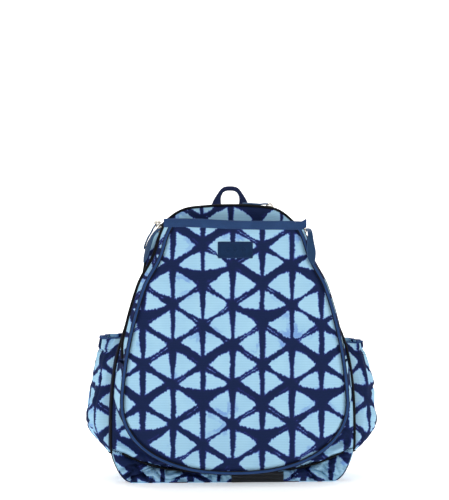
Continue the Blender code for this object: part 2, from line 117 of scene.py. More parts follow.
def mirror(path):
    """A path's other half, with its direction kept."""
    return path[::-1] * np.array([-1.0, 1.0])


def both(right):
    """The whole path from its right half, which starts on the middle line."""
    return np.vstack([mirror(right)[:-1], right])


def sleeve_side(low, high, count=60):
    z = np.linspace(low, high, count)
    return np.column_stack([sleeve_half(z), z])


def sleeve_bowl(top):
    """Down the sleeve's left side, round its bottom and up its right side."""
    half, drop = sleeve_half(SLEEVE_LOW), SLEEVE_LOW - BOWL_LOW.z
    angle = np.linspace(0.0, math.pi / 2, 60)
    bowl = np.column_stack([half * np.sin(angle) ** (2 / SLEEVE_POWER),
                            SLEEVE_LOW - drop * np.cos(angle) ** (2 / SLEEVE_POWER)])
    return both(np.vstack([bowl, sleeve_side(SLEEVE_LOW, top)[1:]]))


def body_half(z):
    """Half the body's width at a height: an S curve from the base up to the shoulders."""
    t = np.clip((z - BASE_SEAM) / (SHOULDER_Z - BASE_SEAM), 0.0, 1.0)
    return BASE_HALF - (BASE_HALF - SHOULDER_HALF) * (1 - np.cos(math.pi * t ** SIDE_POWER)) / 2


def body_side(low, high, count=50):
    z = np.linspace(low, high, count)
    return np.column_stack([body_half(z), z])


def body_arch():
    """From the right shoulder over the top to the left one."""
    corner = np.linspace(0.0, CORNER_SWEEP, 30)
    top = np.linspace(CORNER_SWEEP, math.pi / 2, 30)[1:]
    right = np.vstack([
        np.column_stack([CORNER_X + CORNER_R * np.cos(corner), SHOULDER_Z + CORNER_R * np.sin(corner)]),
        np.column_stack([TOP_R * np.cos(top), TOP_CZ + TOP_R * np.sin(top)])])
    return np.vstack([right, mirror(right)[1:]])


def base_bowl():
    """The base's outline with its two rounded lower corners."""
    angle = np.linspace(0.0, math.pi / 2, 24)
    right = np.column_stack([BASE_HALF - BASE_CORNER + BASE_CORNER * np.sin(angle),
                             BASE_SEAM * (1 - np.cos(angle))])
    return both(np.vstack([[0.0, 0.0], right]))


def main_run(low):
    """The main zip's line: up the right side, over the top and down the left side."""
    side = body_side(low, SHOULDER_Z)
    return np.vstack([side[:-1], body_arch(), mirror(side)[1:]])


def run_along(path):
    """The distance from a path's start to each of its points."""
    return np.concatenate([[0.0], np.cumsum(np.linalg.norm(np.diff(path, axis=0), axis=1))])


def resample(path, step, closed=False):
    """The same path with points a step apart."""
    path = np.asarray(path, float)
    if closed:
        path = np.vstack([path, path[:1]])
    run = run_along(path)
    count = max(3, int(round(run[-1] / step)) + 1)
    at = np.linspace(0.0, run[-1], count)
    out = np.column_stack([np.interp(at, run, path[:, k]) for k in range(path.shape[1])])
    return out[:-1] if closed else out


def outward(path, closed=False):
    """Unit vectors that point out of an anticlockwise path."""
    if closed:
        along = np.roll(path, -1, axis=0) - np.roll(path, 1, axis=0)
    else:
        along = np.gradient(path, axis=0)
    along /= np.linalg.norm(along, axis=1)[:, None]
    return np.column_stack([along[:, 1], -along[:, 0]])


def at_depth(path, y):
    """A path in x and z as 3-D points at depth y."""
    return np.column_stack([path[:, 0], np.full(len(path), y), path[:, 1]])


def pairs(first, second):
    """Two arrays as one array of pairs, both stretched to their common shape."""
    return np.stack(np.broadcast_arrays(first, second), -1)


def dome(t):
    """A quarter circle's rise from 0 at 0 to 1 at 1."""
    t = np.clip(t, 0.0, 1.0)
    return np.sqrt(t * (2 - t))


def smooth(t):
    """A soft step from 0 at 0 to 1 at 1."""
    t = np.clip(t, 0.0, 1.0)
    return t * t * (3 - 2 * t)


def rough(points, size, seed=0.0):
    """Smooth noise between -1 and 1 at each point; size is the length of its swells."""
    flat = np.asarray(points, float).reshape(-1, np.shape(points)[-1])
    out = [noise.noise(Vector((p[0] / size + seed, p[1] / size - seed, (p[2] if len(p) > 2 else 0.0) / size)))
           for p in flat]
    return np.array(out).reshape(np.shape(points)[:-1])


def fold_lines(a, b, size, stretch, seed):
    """Sharp soft-cloth creases between 0 and 1 that run along b."""
    swell = rough(pairs(a, b / stretch), size, seed)
    return 1 - np.minimum(1.0, np.abs(swell) * 3.2)


def inside_rim(loop, share, middle, shrink):
    """Rows of points from a loop in to a smaller copy of it, and how far each is from the loop."""
    core = np.column_stack([loop[:, 0] * shrink, middle + (loop[:, 1] - middle) * shrink])
    xz = loop[None] * (1 - share)[:, None, None] + core[None] * share[:, None, None]
    return xz, np.linalg.norm(xz - loop[None], axis=-1)


# ------------------------------------------------------------------ mesh helpers
def edit_mesh(piece, change):
    """Runs change on the piece's mesh as a bmesh."""
    shape = bmesh.new()
    shape.from_mesh(piece.data)
    change(shape)
    shape.to_mesh(piece.data)
    shape.free()
    return piece


def face_out(shape):
    bmesh.ops.recalc_face_normals(shape, faces=shape.faces)


def close_middle(piece, half, low, high):
    """Fills the hole that is left in the middle of a sheet made by inside_rim."""
    def fill(shape):
        inner = [e for e in shape.edges if len(e.link_faces) == 1 and abs(e.verts[0].co.x) < half
                 and low < e.verts[0].co.z < high]
        bmesh.ops.edgeloop_fill(shape, edges=inner)
    edit_mesh(piece, fill)


def points_of(piece):
    """The places of a piece's vertices."""
    spots = np.zeros(len(piece.data.vertices) * 3)
    piece.data.vertices.foreach_get("co", spots)
    return spots.reshape(-1, 3)


def lay_flat(piece, flat):
    """Stores each point's place on the flat cloth or tape, in metres, for the weave and the print."""
    spots = np.zeros((len(piece.data.vertices), 3), np.float32)
    spots[:, :2] = np.asarray(flat, float).reshape(-1, 2)
    if "cloth" in piece.data.attributes:
        piece.data.attributes.remove(piece.data.attributes["cloth"])
    piece.data.attributes.new("cloth", "FLOAT_VECTOR", "POINT").data.foreach_set("vector", spots.ravel())


def link(name, data):
    """A new object with the given mesh, light or camera."""
    piece = bpy.data.objects.new(name, data)
    bpy.context.scene.collection.objects.link(piece)
    return piece


def finish_piece(piece, material, body=None, nodes=()):
    """Gives a piece its material, the body it rides on and the CAD nodes that it replaces."""
    piece.data.materials.clear()
    piece.data.materials.append(material)
    for face in piece.data.polygons:
        face.use_smooth = True
    if body:
        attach(piece, body)
    if nodes:
        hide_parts(*nodes)
    return piece


def make_mesh(name, vertices, faces, print_at=None):
    """A mesh object; print_at is each point's place on the flat cloth or tape, in metres."""
    mesh = bpy.data.meshes.new(name)
    mesh.from_pydata(np.asarray(vertices, float).tolist(), [], faces)
    mesh.update()
    piece = link(name, mesh)
    if print_at is not None:
        lay_flat(piece, print_at)
    return piece


def grid_faces(rows, columns, closed_rows=False, closed_columns=False):
    faces = []
    for i in range(rows if closed_rows else rows - 1):
        for j in range(columns if closed_columns else columns - 1):
            k, l = (i + 1) % rows, (j + 1) % columns
            faces.append((i * columns + j, k * columns + j, k * columns + l, i * columns + l))
    return faces


def grid(name, points, print_at=None, closed_rows=False, closed_columns=False, thick=0.0, flip=False):
    """A sheet from a rows x columns array of points, thickened away from its face if thick is set."""
    rows, columns = points.shape[:2]
    faces = grid_faces(rows, columns, closed_rows, closed_columns)
    if flip:
        faces = [face[::-1] for face in faces]
    piece = make_mesh(name, points.reshape(-1, 3), faces, print_at)
    if thick:
        solid = piece.modifiers.new("cloth_thickness", "SOLIDIFY")
        solid.thickness = thick
        solid.offset = -1.0
        solid.use_even_offset = False
    return piece


def tube(name, sections, print_at=None):
    """A closed solid through rows of loops, capped at both ends."""
    rows, columns = sections.shape[:2]
    faces = grid_faces(rows, columns, closed_columns=True)
    faces.append(tuple(range(columns)))
    faces.append(tuple((rows - 1) * columns + j for j in reversed(range(columns))))
    return edit_mesh(make_mesh(name, sections.reshape(-1, 3), faces, print_at), face_out)


def rail(name, path, profile, y, step=0.003):
    """A solid of the given profile (outward, depth) along a path in a plane at depth y."""
    path = resample(path, step)
    out = outward(path)
    points = np.zeros((len(path), len(profile), 3))
    points[:, :, [0, 2]] = path[:, None, :] + out[:, None, :] * profile[None, :, :1]
    points[:, :, 1] = y + profile[None, :, 1]
    return tube(name, points, pairs(np.arange(len(path))[:, None] * step, run_along(profile)[None, :]))


def rounded(width, depth, radius, steps=4, centre=(0.0, 0.0)):
    """The points of a rectangle with round corners, anticlockwise."""
    points = []
    for k, (sx, sy) in enumerate(((1, 1), (-1, 1), (-1, -1), (1, -1))):
        for i in range(steps + 1):
            angle = math.pi / 2 * (k + i / steps)
            points.append((centre[0] + sx * (width / 2 - radius) + radius * math.cos(angle),
                           centre[1] + sy * (depth / 2 - radius) + radius * math.sin(angle)))
    return np.array(points)


def join(name, pieces):
    """One object from several, keeping their meshes' attributes."""
    if len(pieces) > 1:
        with bpy.context.temp_override(active_object=pieces[0], selected_editable_objects=pieces,
                                       selected_objects=pieces, object=pieces[0]):
            bpy.ops.object.join()
    pieces[0].name = name
    return pieces[0]


# ------------------------------------------------------------------ node helpers
class Value:
    """A node's output that can be used in sums, so that a pattern reads as a formula."""

    WORDS = {"abs": "ABSOLUTE", "round": "ROUND", "fract": "FRACT", "floor": "FLOOR", "sin": "SINE",
             "min": "MINIMUM", "max": "MAXIMUM", "below": "LESS_THAN", "mod": "FLOORED_MODULO",
             "sqrt": "SQRT", "near": "SMOOTH_MIN", "power": "POWER"}

    def __init__(self, tree, socket):
        self.tree = tree
        self.socket = socket

    def _math(self, operation, *others):
        node = self.tree.nodes.new("ShaderNodeMath")
        node.operation = operation
        for place, item in zip(node.inputs, (self, *others)):
            if isinstance(item, Value):
                self.tree.links.new(item.socket, place)
            else:
                place.default_value = item
        return Value(self.tree, node.outputs[0])

    def __add__(self, other):
        return self._math("ADD", other)

    def __sub__(self, other):
        return self._math("SUBTRACT", other)

    def __rsub__(self, other):
        return self * -1.0 + other

    def __mul__(self, other):
        return self._math("MULTIPLY", other)

    def __truediv__(self, other):
        return self._math("DIVIDE", other)

    def __getattr__(self, name):
        if name not in self.WORDS:
            raise AttributeError(name)
        return lambda *others: self._math(self.WORDS[name], *others)


def new_material(name, colour=(0.5, 0.5, 0.5), roughness=0.6, metallic=0.0, sheen=0.0, specular=0.5):
    material = bpy.data.materials.new(name)
    material.use_nodes = True
    tree = material.node_tree
    shader = tree.nodes["Principled BSDF"]
    shader.inputs["Base Color"].default_value = (*colour, 1.0)
    shader.inputs["Roughness"].default_value = roughness
    shader.inputs["Metallic"].default_value = metallic
    shader.inputs["Specular IOR Level"].default_value = specular
    shader.inputs["Sheen Weight"].default_value = sheen
    shader.inputs["Sheen Roughness"].default_value = 0.5
    return material, tree, shader


def srgb(red, green, blue):
    """A colour given as 0-255 display values, as linear light."""
    out = []
    for value in (red, green, blue):
        value /= 255
        out.append(value / 12.92 if value < 0.04045 else ((value + 0.055) / 1.055) ** 2.4)
    return tuple(out)


def cloth_place(tree):
    """The (along, across) place on the flat cloth, as two values and one vector socket."""
    node = tree.nodes.new("ShaderNodeAttribute")
    node.attribute_name = "cloth"
    split = tree.nodes.new("ShaderNodeSeparateXYZ")
    tree.links.new(node.outputs["Vector"], split.inputs[0])
    return Value(tree, split.outputs[0]), Value(tree, split.outputs[1]), node.outputs["Vector"]


def object_place(tree):
    node = tree.nodes.new("ShaderNodeTexCoord")
    split = tree.nodes.new("ShaderNodeSeparateXYZ")
    tree.links.new(node.outputs["Object"], split.inputs[0])
    return [Value(tree, split.outputs[k]) for k in range(3)], node.outputs["Object"]


def noise_at(tree, vector, scale, detail=2.0, stretch=(1, 1, 1), shift=(0, 0, 0)):
    """Noise from 0 to 1; scale is in cycles a metre."""
    place = tree.nodes.new("ShaderNodeMapping")
    place.inputs["Scale"].default_value = stretch
    place.inputs["Location"].default_value = shift
    tree.links.new(vector, place.inputs["Vector"])
    node = tree.nodes.new("ShaderNodeTexNoise")
    node.inputs["Scale"].default_value = scale
    node.inputs["Detail"].default_value = detail
    tree.links.new(place.outputs[0], node.inputs["Vector"])
    return Value(tree, node.outputs["Fac"])


def ramp(tree, value, stops):
    """The colour that a value from 0 to 1 picks among (place, colour) stops."""
    node = tree.nodes.new("ShaderNodeValToRGB")
    elements = node.color_ramp.elements
    while len(elements) < len(stops):
        elements.new(0.5)
    for element, (place, colour) in zip(elements, stops):
        element.position = place
        element.color = (*colour, 1.0)
    tree.links.new(value.socket, node.inputs[0])
    return node.outputs[0]


def mix(tree, factor, a, b, mode="MIX"):
    """A blend of two colours; factor, a and b may be numbers, colours, values or sockets."""
    node = tree.nodes.new("ShaderNodeMix")
    node.data_type = "RGBA"
    node.blend_type = mode
    for place, item in ((node.inputs[0], factor), (node.inputs[6], a), (node.inputs[7], b)):
        if isinstance(item, Value):
            tree.links.new(item.socket, place)
        elif isinstance(item, bpy.types.NodeSocket):
            tree.links.new(item, place)
        else:
            place.default_value = item if isinstance(item, (int, float)) else (*item, 1.0)
    return node.outputs[2]


def bump(tree, shader, height, distance, strength):
    """Small relief: distance is the height in metres of a step of one."""
    node = tree.nodes.new("ShaderNodeBump")
    node.inputs["Distance"].default_value = distance
    node.inputs["Strength"].default_value = strength
    tree.links.new(height.socket, node.inputs["Height"])
    tree.links.new(node.outputs[0], shader.inputs["Normal"])


def paint(tree, shader, shade):
    tree.links.new(shade, shader.inputs["Base Color"])


def ripple(value, length):
    """A sine wave along a value, of the given wave length in metres."""
    return (value * (2 * math.pi / length)).sin()


def tinted(colour, times, plus=0.0):
    """A colour made paler or darker."""
    return tuple(min(1.0, c * times + plus) for c in colour)


# ------------------------------------------------------------------ materials
LIGHT = srgb(168, 212, 236)
LIGHT_DEEP = srgb(150, 196, 228)
BLEED = srgb(118, 158, 219)
FRINGE = srgb(50, 56, 132)
NAVY = srgb(22, 36, 74)
NAVY_WARM = srgb(27, 37, 82)
WEAVE = 0.0009                  # spacing of a cloth's threads
COLUMN = 0.0448                 # spacing of the print's upright lines
CELL = 0.0597                   # spacing of its crossings along them
FIRST_X, FIRST_Z = -0.0041, 0.1553      # where one of the crossings lies


def print_field(tree, x, z, vector):
    """Signed distance in millimetres from the edge of the dyed lines, negative inside them."""
    comb_x = noise_at(tree, vector, 1000.0, 2.0, (0.06, 0.42, 0.0)) - 0.5
    comb_z = noise_at(tree, vector, 1000.0, 2.0, (0.46, 0.05, 0.0), (3.0, 7.0, 0.0)) - 0.5
    sway_x = noise_at(tree, vector, 45.0, 2.0, (1, 1, 0), (1.0, 5.0, 0.0)) - 0.5
    sway_z = noise_at(tree, vector, 45.0, 2.0, (1, 1, 0), (9.0, 2.0, 0.0)) - 0.5
    x = x + comb_x * 0.0044 + sway_x * 0.0024 - FIRST_X
    z = z + comb_z * 0.0060 + sway_z * 0.0040 - FIRST_Z
    a = x / COLUMN
    up = z / CELL
    slope = CELL / (2 * COLUMN)
    across = CELL * 1000 / math.sqrt(1 + slope * slope)
    column = a.round()
    along = (up - column * 0.5).fract()
    swell = noise_at(tree, vector, 24.0, 1.0, (1, 1, 0), (4.0, 4.0, 0.0)) - 0.5
    thin = noise_at(tree, vector, 30.0, 1.0, (1, 0.6, 0), (14.0, 3.0, 0.0)) - 0.5
    from_column = (a - column).abs() * (COLUMN * 1000)
    upright = from_column - (along.power(1.3) * 2.9 + 2.2 + thin * 7.0).max(0.4)
    level = (along - along.round()) * (CELL * 1000)
    blob = (from_column * from_column * 0.8 + level * level).sqrt() - 7.6
    near_node = ((a.fract() * 2 - 1).abs()).power(1.5)
    width = near_node * 3.0 + swell * 9.0 + 2.5
    dash = noise_at(tree, vector, 520.0, 1.0, (1, 1, 0), (6.0, 1.0, 0.0))
    fields = [upright, blob]
    for sign, shift in ((-0.5, 0.0), (0.5, 5.0)):
        line = up + a * sign
        away = (line - line.round()).abs() * across
        split = noise_at(tree, vector, 30.0, 1.0, (1, 1, 0), (shift, 11.0, 0.0))
        gap = (dash * 3.4 - 1.1 - away).min((split - 0.56) * 60).min((0.72 - near_node) * 30)
        fields.append((away - width.max(0.9)).max(gap))
    # at every third crossing of every second column the dye fills the space above it
    odd = ((a - 1) / 2).round() * 2 + 1
    other = ((odd - 1) / 4).fract().below(0.25)
    rise = (up + 0.5 - other * 2).mod(3.0) * (CELL * 1000)
    reach = (a - odd).abs() * (COLUMN * 1000)
    arc = reach * reach * 0.0050 + 21.5
    wing = (rise - arc).max(reach * slope - rise)
    fields.append(wing)
    # and a narrower pair of arms stands over the crossing above that
    fields.append((rise - CELL * 1000 - reach * slope - 11.0).max(reach * slope + CELL * 1000 - rise))
    field = fields[0]
    for other_field in fields[1:]:
        field = field.near(other_field, 2.6)
    return field


def printed_fabric(name):
    """Tie-dyed cloth: navy lines with a violet fringe on light blue, over a fine crosswise rib."""
    material, tree, shader = new_material(name, roughness=0.86, specular=0.12)
    x, z, vector = cloth_place(tree)
    field = print_field(tree, x, z, vector)
    scaled = (field * (noise_at(tree, vector, 70.0, 1.0) * 1.2 + 0.5)) * 0.082 + 0.3
    dye = ramp(tree, scaled, ((0.0, NAVY), (0.25, NAVY_WARM), (0.32, FRINGE), (0.38, BLEED), (0.47, LIGHT)))
    patches = noise_at(tree, vector, 20.0, 3.0, (1, 1, 0), (2.0, 8.0, 0.0))
    light = mix(tree, (patches - 0.35) * 1.6, LIGHT, LIGHT_DEEP)
    bleed = (patches - 0.60).max(0.0) * 11.0 * (field - 6.0).below(0.0)
    light = mix(tree, bleed.min(0.85), light, BLEED)
    colour = mix(tree, (scaled - 0.38) * 10.0, dye, light)
    rib = ripple(z, 0.0025)
    shaded = mix(tree, rib * 0.5 + 0.5, (0.55, 0.55, 0.55), (1.22, 1.20, 1.16))
    colour = mix(tree, 0.20, colour, shaded, "MULTIPLY")
    grain = noise_at(tree, vector, 2600.0, 1.0, (1, 0.45, 0))
    shaded = mix(tree, grain, (0.5, 0.5, 0.5), (1.2, 1.2, 1.2))
    paint(tree, shader, mix(tree, 0.10, colour, shaded, "MULTIPLY"))
    weave = ripple(x, WEAVE) * ripple(z, WEAVE)
    bump(tree, shader, weave * 0.35 + rib * 0.5 + grain, 0.00018, 0.55)
    return material


def woven(name, colour, pitch, rib_along, shine=0.75, depth=0.00025, fleck=0.25):
    """Ribbed tape or webbing; its ribs run along it or across it."""
    material, tree, shader = new_material(name, colour, shine, 0.0, 0.02, 0.15)
    u, v, vector = cloth_place(tree)
    first, second = (v, u) if rib_along else (u, v)
    rib = ripple(first, pitch)
    twill = ripple(u + v, pitch * 0.8) * ripple(second, pitch * 1.7)
    grain = noise_at(tree, vector, 900.0, 2.0)
    tone = (rib * 0.25 + twill * 0.15 + grain).min(1.0).max(0.0)
    wear = noise_at(tree, vector, 35.0, 3.0)
    shade = mix(tree, tone, tinted(colour, 1 - fleck), tinted(colour, 1 + fleck, 0.003))
    paint(tree, shader, mix(tree, (wear - 0.5).max(0.0) * 1.6, shade, tinted(colour, 1.5, 0.004)))
    bump(tree, shader, rib * 0.6 + twill * 0.3 + grain * 0.4, depth, 0.7)
    return material


def leather(name, colour):
    """Fine-grained leather, with a painted highlight along its edges."""
    material, tree, shader = new_material(name, colour, 0.56, 0.0, 0.0, 0.12)
    _, vector = object_place(tree)
    cells = tree.nodes.new("ShaderNodeTexVoronoi")
    cells.feature = "DISTANCE_TO_EDGE"
    cells.inputs["Scale"].default_value = 1400.0
    tree.links.new(vector, cells.inputs["Vector"])
    grain = Value(tree, cells.outputs["Distance"]).min(0.25) * 4.0
    cloud = noise_at(tree, vector, 160.0, 3.0)
    shade = mix(tree, cloud, tinted(colour, 0.8), tinted(colour, 1.35))
    # painted highlight: the colour turns paler where the surface is sharply convex, along the edges
    edge_highlight_geometry = tree.nodes.new("ShaderNodeNewGeometry")
    edge = (Value(tree, edge_highlight_geometry.outputs["Pointiness"]) - 0.53).max(0.0) * 3.0
    paint(tree, shader, mix(tree, edge.min(0.55), shade, tinted(colour, 2.4, 0.03)))
    tree.links.new((cloud * 0.2 + 0.46).socket, shader.inputs["Roughness"])
    bump(tree, shader, grain, 0.00012, 0.6)
    return material


def cast(name, colour, roughness, metallic, grain, tones, spread, depth):
    """Metal or plastic: tones darken and lighten its colour, spread is the range of its uneven gloss."""
    material, tree, shader = new_material(name, colour, roughness, metallic)
    _, vector = object_place(tree)
    cloud = noise_at(tree, vector, grain[0], grain[1])
    tree.links.new((cloud * spread + roughness - 0.08).socket, shader.inputs["Roughness"])
    paint(tree, shader, mix(tree, cloud, tinted(colour, tones[0]), tinted(colour, tones[1])))
    bump(tree, shader, cloud, depth, 0.4)
    return material


def metal(name, colour):
    return cast(name, colour, 0.26, 1.0, (700.0, 3.0), (0.82, 1.08), 0.25, 0.00005)


def moulded(name, colour):
    return cast(name, colour, 0.42, 0.0, (1800.0, 2.0), (0.8, 1.3), 0.2, 0.00006)


def air_mesh(name, colour):
    """Padded mesh: rows of small round holes set in a knitted cloth."""
    material, tree, shader = new_material(name, colour, 0.85, 0.0, 0.15, 0.25)
    u, v, _ = cloth_place(tree)
    pitch = 0.0042
    row = (v / (pitch * 0.5)).floor()
    a = (u / pitch + row * 0.5).fract() - 0.5
    b = ((v / (pitch * 0.5)).fract() - 0.5) * 0.5
    hole = (((a * a + b * b).sqrt() - 0.17).max(0.0) * 6.0).min(1.0)
    paint(tree, shader, mix(tree, hole, tinted(colour, 0.25), tinted(colour, 1.35)))
    bump(tree, shader, hole + ripple(u, WEAVE) * ripple(v, WEAVE) * 0.15, 0.0008, 0.8)
    return material


def ribbed(name, colour, pitch):
    """Black cloth with fine raised ribs that run across."""
    material, tree, shader = new_material(name, colour, 0.6, 0.0, 0.1, 0.35)
    (_, _, z), vector = object_place(tree)
    rib = ripple(z, pitch)
    grain = noise_at(tree, vector, 1500.0, 2.0)
    paint(tree, shader, mix(tree, rib * 0.35 + 0.3 + grain * 0.3, tinted(colour, 0.5), tinted(colour, 2.2)))
    bump(tree, shader, rib + grain * 0.3, 0.0006, 0.8)
    return material


PATCH_RIB = 0.0021              # spacing of the black patch's ribs
FABRIC = printed_fabric("printed_fabric")
BINDING = woven("navy_binding", srgb(36, 66, 114), 0.0011, True)
BAND = woven("navy_band", srgb(37, 65, 108), 0.0016, True, fleck=0.35)
LEATHER = leather("navy_leather", srgb(33, 60, 92))
LABEL = leather("label_leather", srgb(14, 40, 74))
WEBBING = woven("navy_webbing", srgb(27, 35, 70), 0.0022, False, 0.7, 0.0004)
ZIP_TAPE = woven("zip_tape", srgb(17, 18, 24), 0.0012, True, 0.8, 0.0002)
COIL = moulded("zip_coil", srgb(20, 21, 27))
METAL = metal("zip_metal", srgb(206, 198, 182))
MESH = air_mesh("black_mesh", srgb(34, 36, 44))
MESH_NAVY = air_mesh("navy_mesh", srgb(36, 46, 90))
STRAP_CLOTH = woven("strap_cloth", srgb(38, 46, 86), 0.0010, False, 0.8, 0.0002)
THREAD = woven("sewing_thread", srgb(58, 72, 120), 0.0006, False, 0.7, 0.0001)
DARK_THREAD = woven("dark_thread", srgb(24, 28, 46), 0.0006, False, 0.7, 0.0001)
RIBBED = ribbed("rib_patch", srgb(26, 28, 34), PATCH_RIB)
PLASTIC = moulded("black_plastic", srgb(22, 22, 25))
BOARD = moulded("stiff_board", srgb(90, 90, 94))


# ------------------------------------------------------------------ the racket sleeve
ZIP_OUT = {1: 0.0024, -1: 0.0046}       # how far each side's zip stands outside the sleeve's arc
FLARE = {1: 0.0035, -1: 0.0050}         # and how much further the gusset spreads behind it
LEAN = 0.0115                           # the stuffed body is pushed in at its upper right,
LEAN_LOW, LEAN_REACH = 0.20, 0.14       # more and more from this height, over this much
SLUMP = 0.0060                          # its shoulders sink inside the CAD's corner arcs
FOOT_IN = 0.036                         # and its foot is drawn in by this share
FADE = 0.10                             # lean and slump fade out over this depth towards the back
PUFF, PUFF_REACH = 0.0045, 0.012        # the front wall stands forward of its rim, reached over this
ZIP_SLACK = 0.0016                      # how far the sleeve's zip tapes belly outward
GUSSET_LOW_REAR = DOOR_Z + 0.002        # lowest point of its rear edge, just above the door's fold


def settle(x, y, z):
    """Where the stuffed body's cloth hangs: leaning at the top, sunk shoulders, a foot drawn in; x and z."""
    forward = smooth((BACK_LOW.y - y) / FADE)
    side, up = np.abs(x) - CORNER_X, z - SHOULDER_Z
    turn = np.clip(np.arctan2(up, np.maximum(side, 1e-6)), 0.0, math.pi / 2)
    sink = SLUMP * np.sin(2 * turn) ** 2 * forward * (side > 0)
    new_z = z - sink * np.sin(turn)
    new_x = x - np.sign(x) * sink * np.cos(turn)
    new_x = new_x - LEAN * smooth(x / 0.11) * smooth((z - LEAN_LOW) / LEAN_REACH) * forward
    return new_x * (1 - FOOT_IN * smooth((0.062 - z) / 0.050)), new_z


def panel_bottom(x):
    """Height of the sleeve's rounded bottom edge at x."""
    half = sleeve_half(SLEEVE_LOW)
    share = np.clip(np.abs(x) / half, 0.0, 1.0) ** SLEEVE_POWER
    return SLEEVE_LOW - (SLEEVE_LOW - BOWL_LOW.z) * (1 - share) ** (1 / SLEEVE_POWER)


def make_racket_panel():
    """One padded sheet over both CAD panels."""
    inset = 0.0036
    s = np.sin(np.linspace(-1.0, 1.0, 151) * math.pi / 2 * 0.86) / math.sin(math.pi / 2 * 0.86)
    t = np.linspace(0.0, 1.0, 171)
    low_z = panel_bottom(s * sleeve_half(SLEEVE_LOW)) + inset
    z = low_z[None, :] + t[:, None] * (SLEEVE_TOP + 0.003 - low_z[None, :])
    width = sleeve_half(np.clip(z, SLEEVE_LOW, SLEEVE_TOP)) - inset
    x = s[None, :] * width
    from_side = (1 - np.abs(s))[None, :] * width
    edge = np.minimum(from_side, z - low_z[None, :] + 0.0001)
    low = (1 - smooth((z - 0.02) / 0.10))
    y = np.full(x.shape, PANEL_Y + 0.0036)
    y -= 0.0034 * smooth(edge / 0.009) + 0.0010 * smooth(edge / 0.07)
    y += 0.0009 * rough(pairs(x, z), 0.085, 3.1) + 0.0005 * rough(pairs(x, z), 0.03, 9.2)
    creases = fold_lines(z, x, 0.028, 3.0, 5.5) * smooth((0.05 - from_side) / 0.05)
    y += 0.0009 * creases ** 2 * (1 - low)
    pucker = np.sin(z * 2 * math.pi / 0.0085 + 2.0 * rough(pairs(x, z), 0.02, 1.0))
    y += 0.00035 * pucker * smooth((0.010 - edge) / 0.010)
    beside = np.maximum(np.abs(x) - LABEL_HIGH.x, np.maximum(LABEL_LOW.z - z, z - LABEL_HIGH.z))
    held = smooth(1 - beside / 0.014)
    y = np.maximum(y, BAND_LOW.y + 0.0014 - 0.01 * smooth((BAND_LOW.z - 0.004 - z) / 0.02))
    y = y * (1 - held) + (LABEL_LOW.y + 0.0013) * held
    piece = grid("racket_panel", np.stack([x, y, sag(x, z)], -1), pairs(x, z), thick=0.0035, flip=True)
    finish_piece(piece, FABRIC, nodes=("racket_panel_lower", "racket_panel_upper"))
    fold_piece(piece)


def fold_piece(piece):
    """Bakes a piece's transform into its mesh."""
    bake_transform(piece)


def make_binding():
    """The woven tape round the panel's edge, with a thin black cord on both sides of it; the inner cord is a
    painted shadow in the gap between the panel and the tape.
    """
    path = sleeve_bowl(SLEEVE_TOP + 0.004)
    path[:, 1] = sag(path[:, 0], path[:, 1])
    depth = 0.0086
    middle = (BOWL_LOW.y + BOWL_HIGH.y) / 2
    piece = rail("panel_binding", path, rounded(0.0044, depth, 0.0019, 5, (-0.0021, 0.0)), middle)
    finish_piece(piece, BINDING,
                 nodes=("panel_binding_lower", "panel_binding_left", "panel_binding_right"))
    fold_piece(piece)
    # the inner black cord is painted shadow in the gap between the panel and the tape
    for name, out, y, radius in (("binding_shadow_cord_inner", -0.0046, -0.0033, 0.00075),
                                 ("binding_cord_outer", 0.0002, -0.0020, 0.00085)):
        cord = rail(name, path, rounded(2 * radius, 2 * radius, radius * 0.98, 2, (out, y)), middle)
        finish_piece(cord, ZIP_TAPE)
        fold_piece(cord)


def wall_edge(z, sign):
    """How far out the settled front wall reaches at a height, on one side."""
    loop = resample(body_loop(), 0.002, closed=True)
    x, up = settle(loop[:, 0], WALL_Y, loop[:, 1])
    keep = x * sign > 0.01
    order = np.argsort(up[keep])
    return np.interp(z, up[keep][order], x[keep][order])


def edge_puff(from_edge):
    """How far the front wall stands forward of its own rim."""
    return PUFF * dome(from_edge / PUFF_REACH)


def gusset_edges():
    """For each stretch of the bowl outline: its place at the panel, the zip line and the wall."""
    path = resample(sleeve_bowl(SLEEVE_TOP), GUSSET_STEP)
    side = np.where(path[:, 0] > 0, 1, -1)
    open_share = smooth((path[:, 1] - FLAP_Z) / 0.03)
    out = outward(path)
    zip_out = np.where(side > 0, ZIP_OUT[1], ZIP_OUT[-1]) * open_share + 0.0015
    flare = np.where(side > 0, FLARE[1], FLARE[-1]) + 0.006 * (1 - open_share)
    front = path - out * 0.0012
    line = path + out * zip_out[:, None]
    rear = path + out * (zip_out + flare)[:, None]
    squeeze = (FLAP_Z - GUSSET_LOW_REAR) / (FLAP_Z - BOWL_LOW.z + 0.006)
    low = rear[:, 1] < FLAP_Z
    rear[low, 1] = FLAP_Z - (FLAP_Z - rear[low, 1]) * squeeze
    mid_low = line[:, 1] < FLAP_Z
    line[mid_low, 1] = FLAP_Z - (FLAP_Z - line[mid_low, 1]) * (1 + squeeze) / 2
    for sign in (1, -1):
        beside = side == sign
        limit = wall_edge(rear[beside, 1], sign) - sign * 0.0025
        rear[beside, 0] = sign * np.minimum(sign * rear[beside, 0], sign * limit)
    return path, front, line, rear


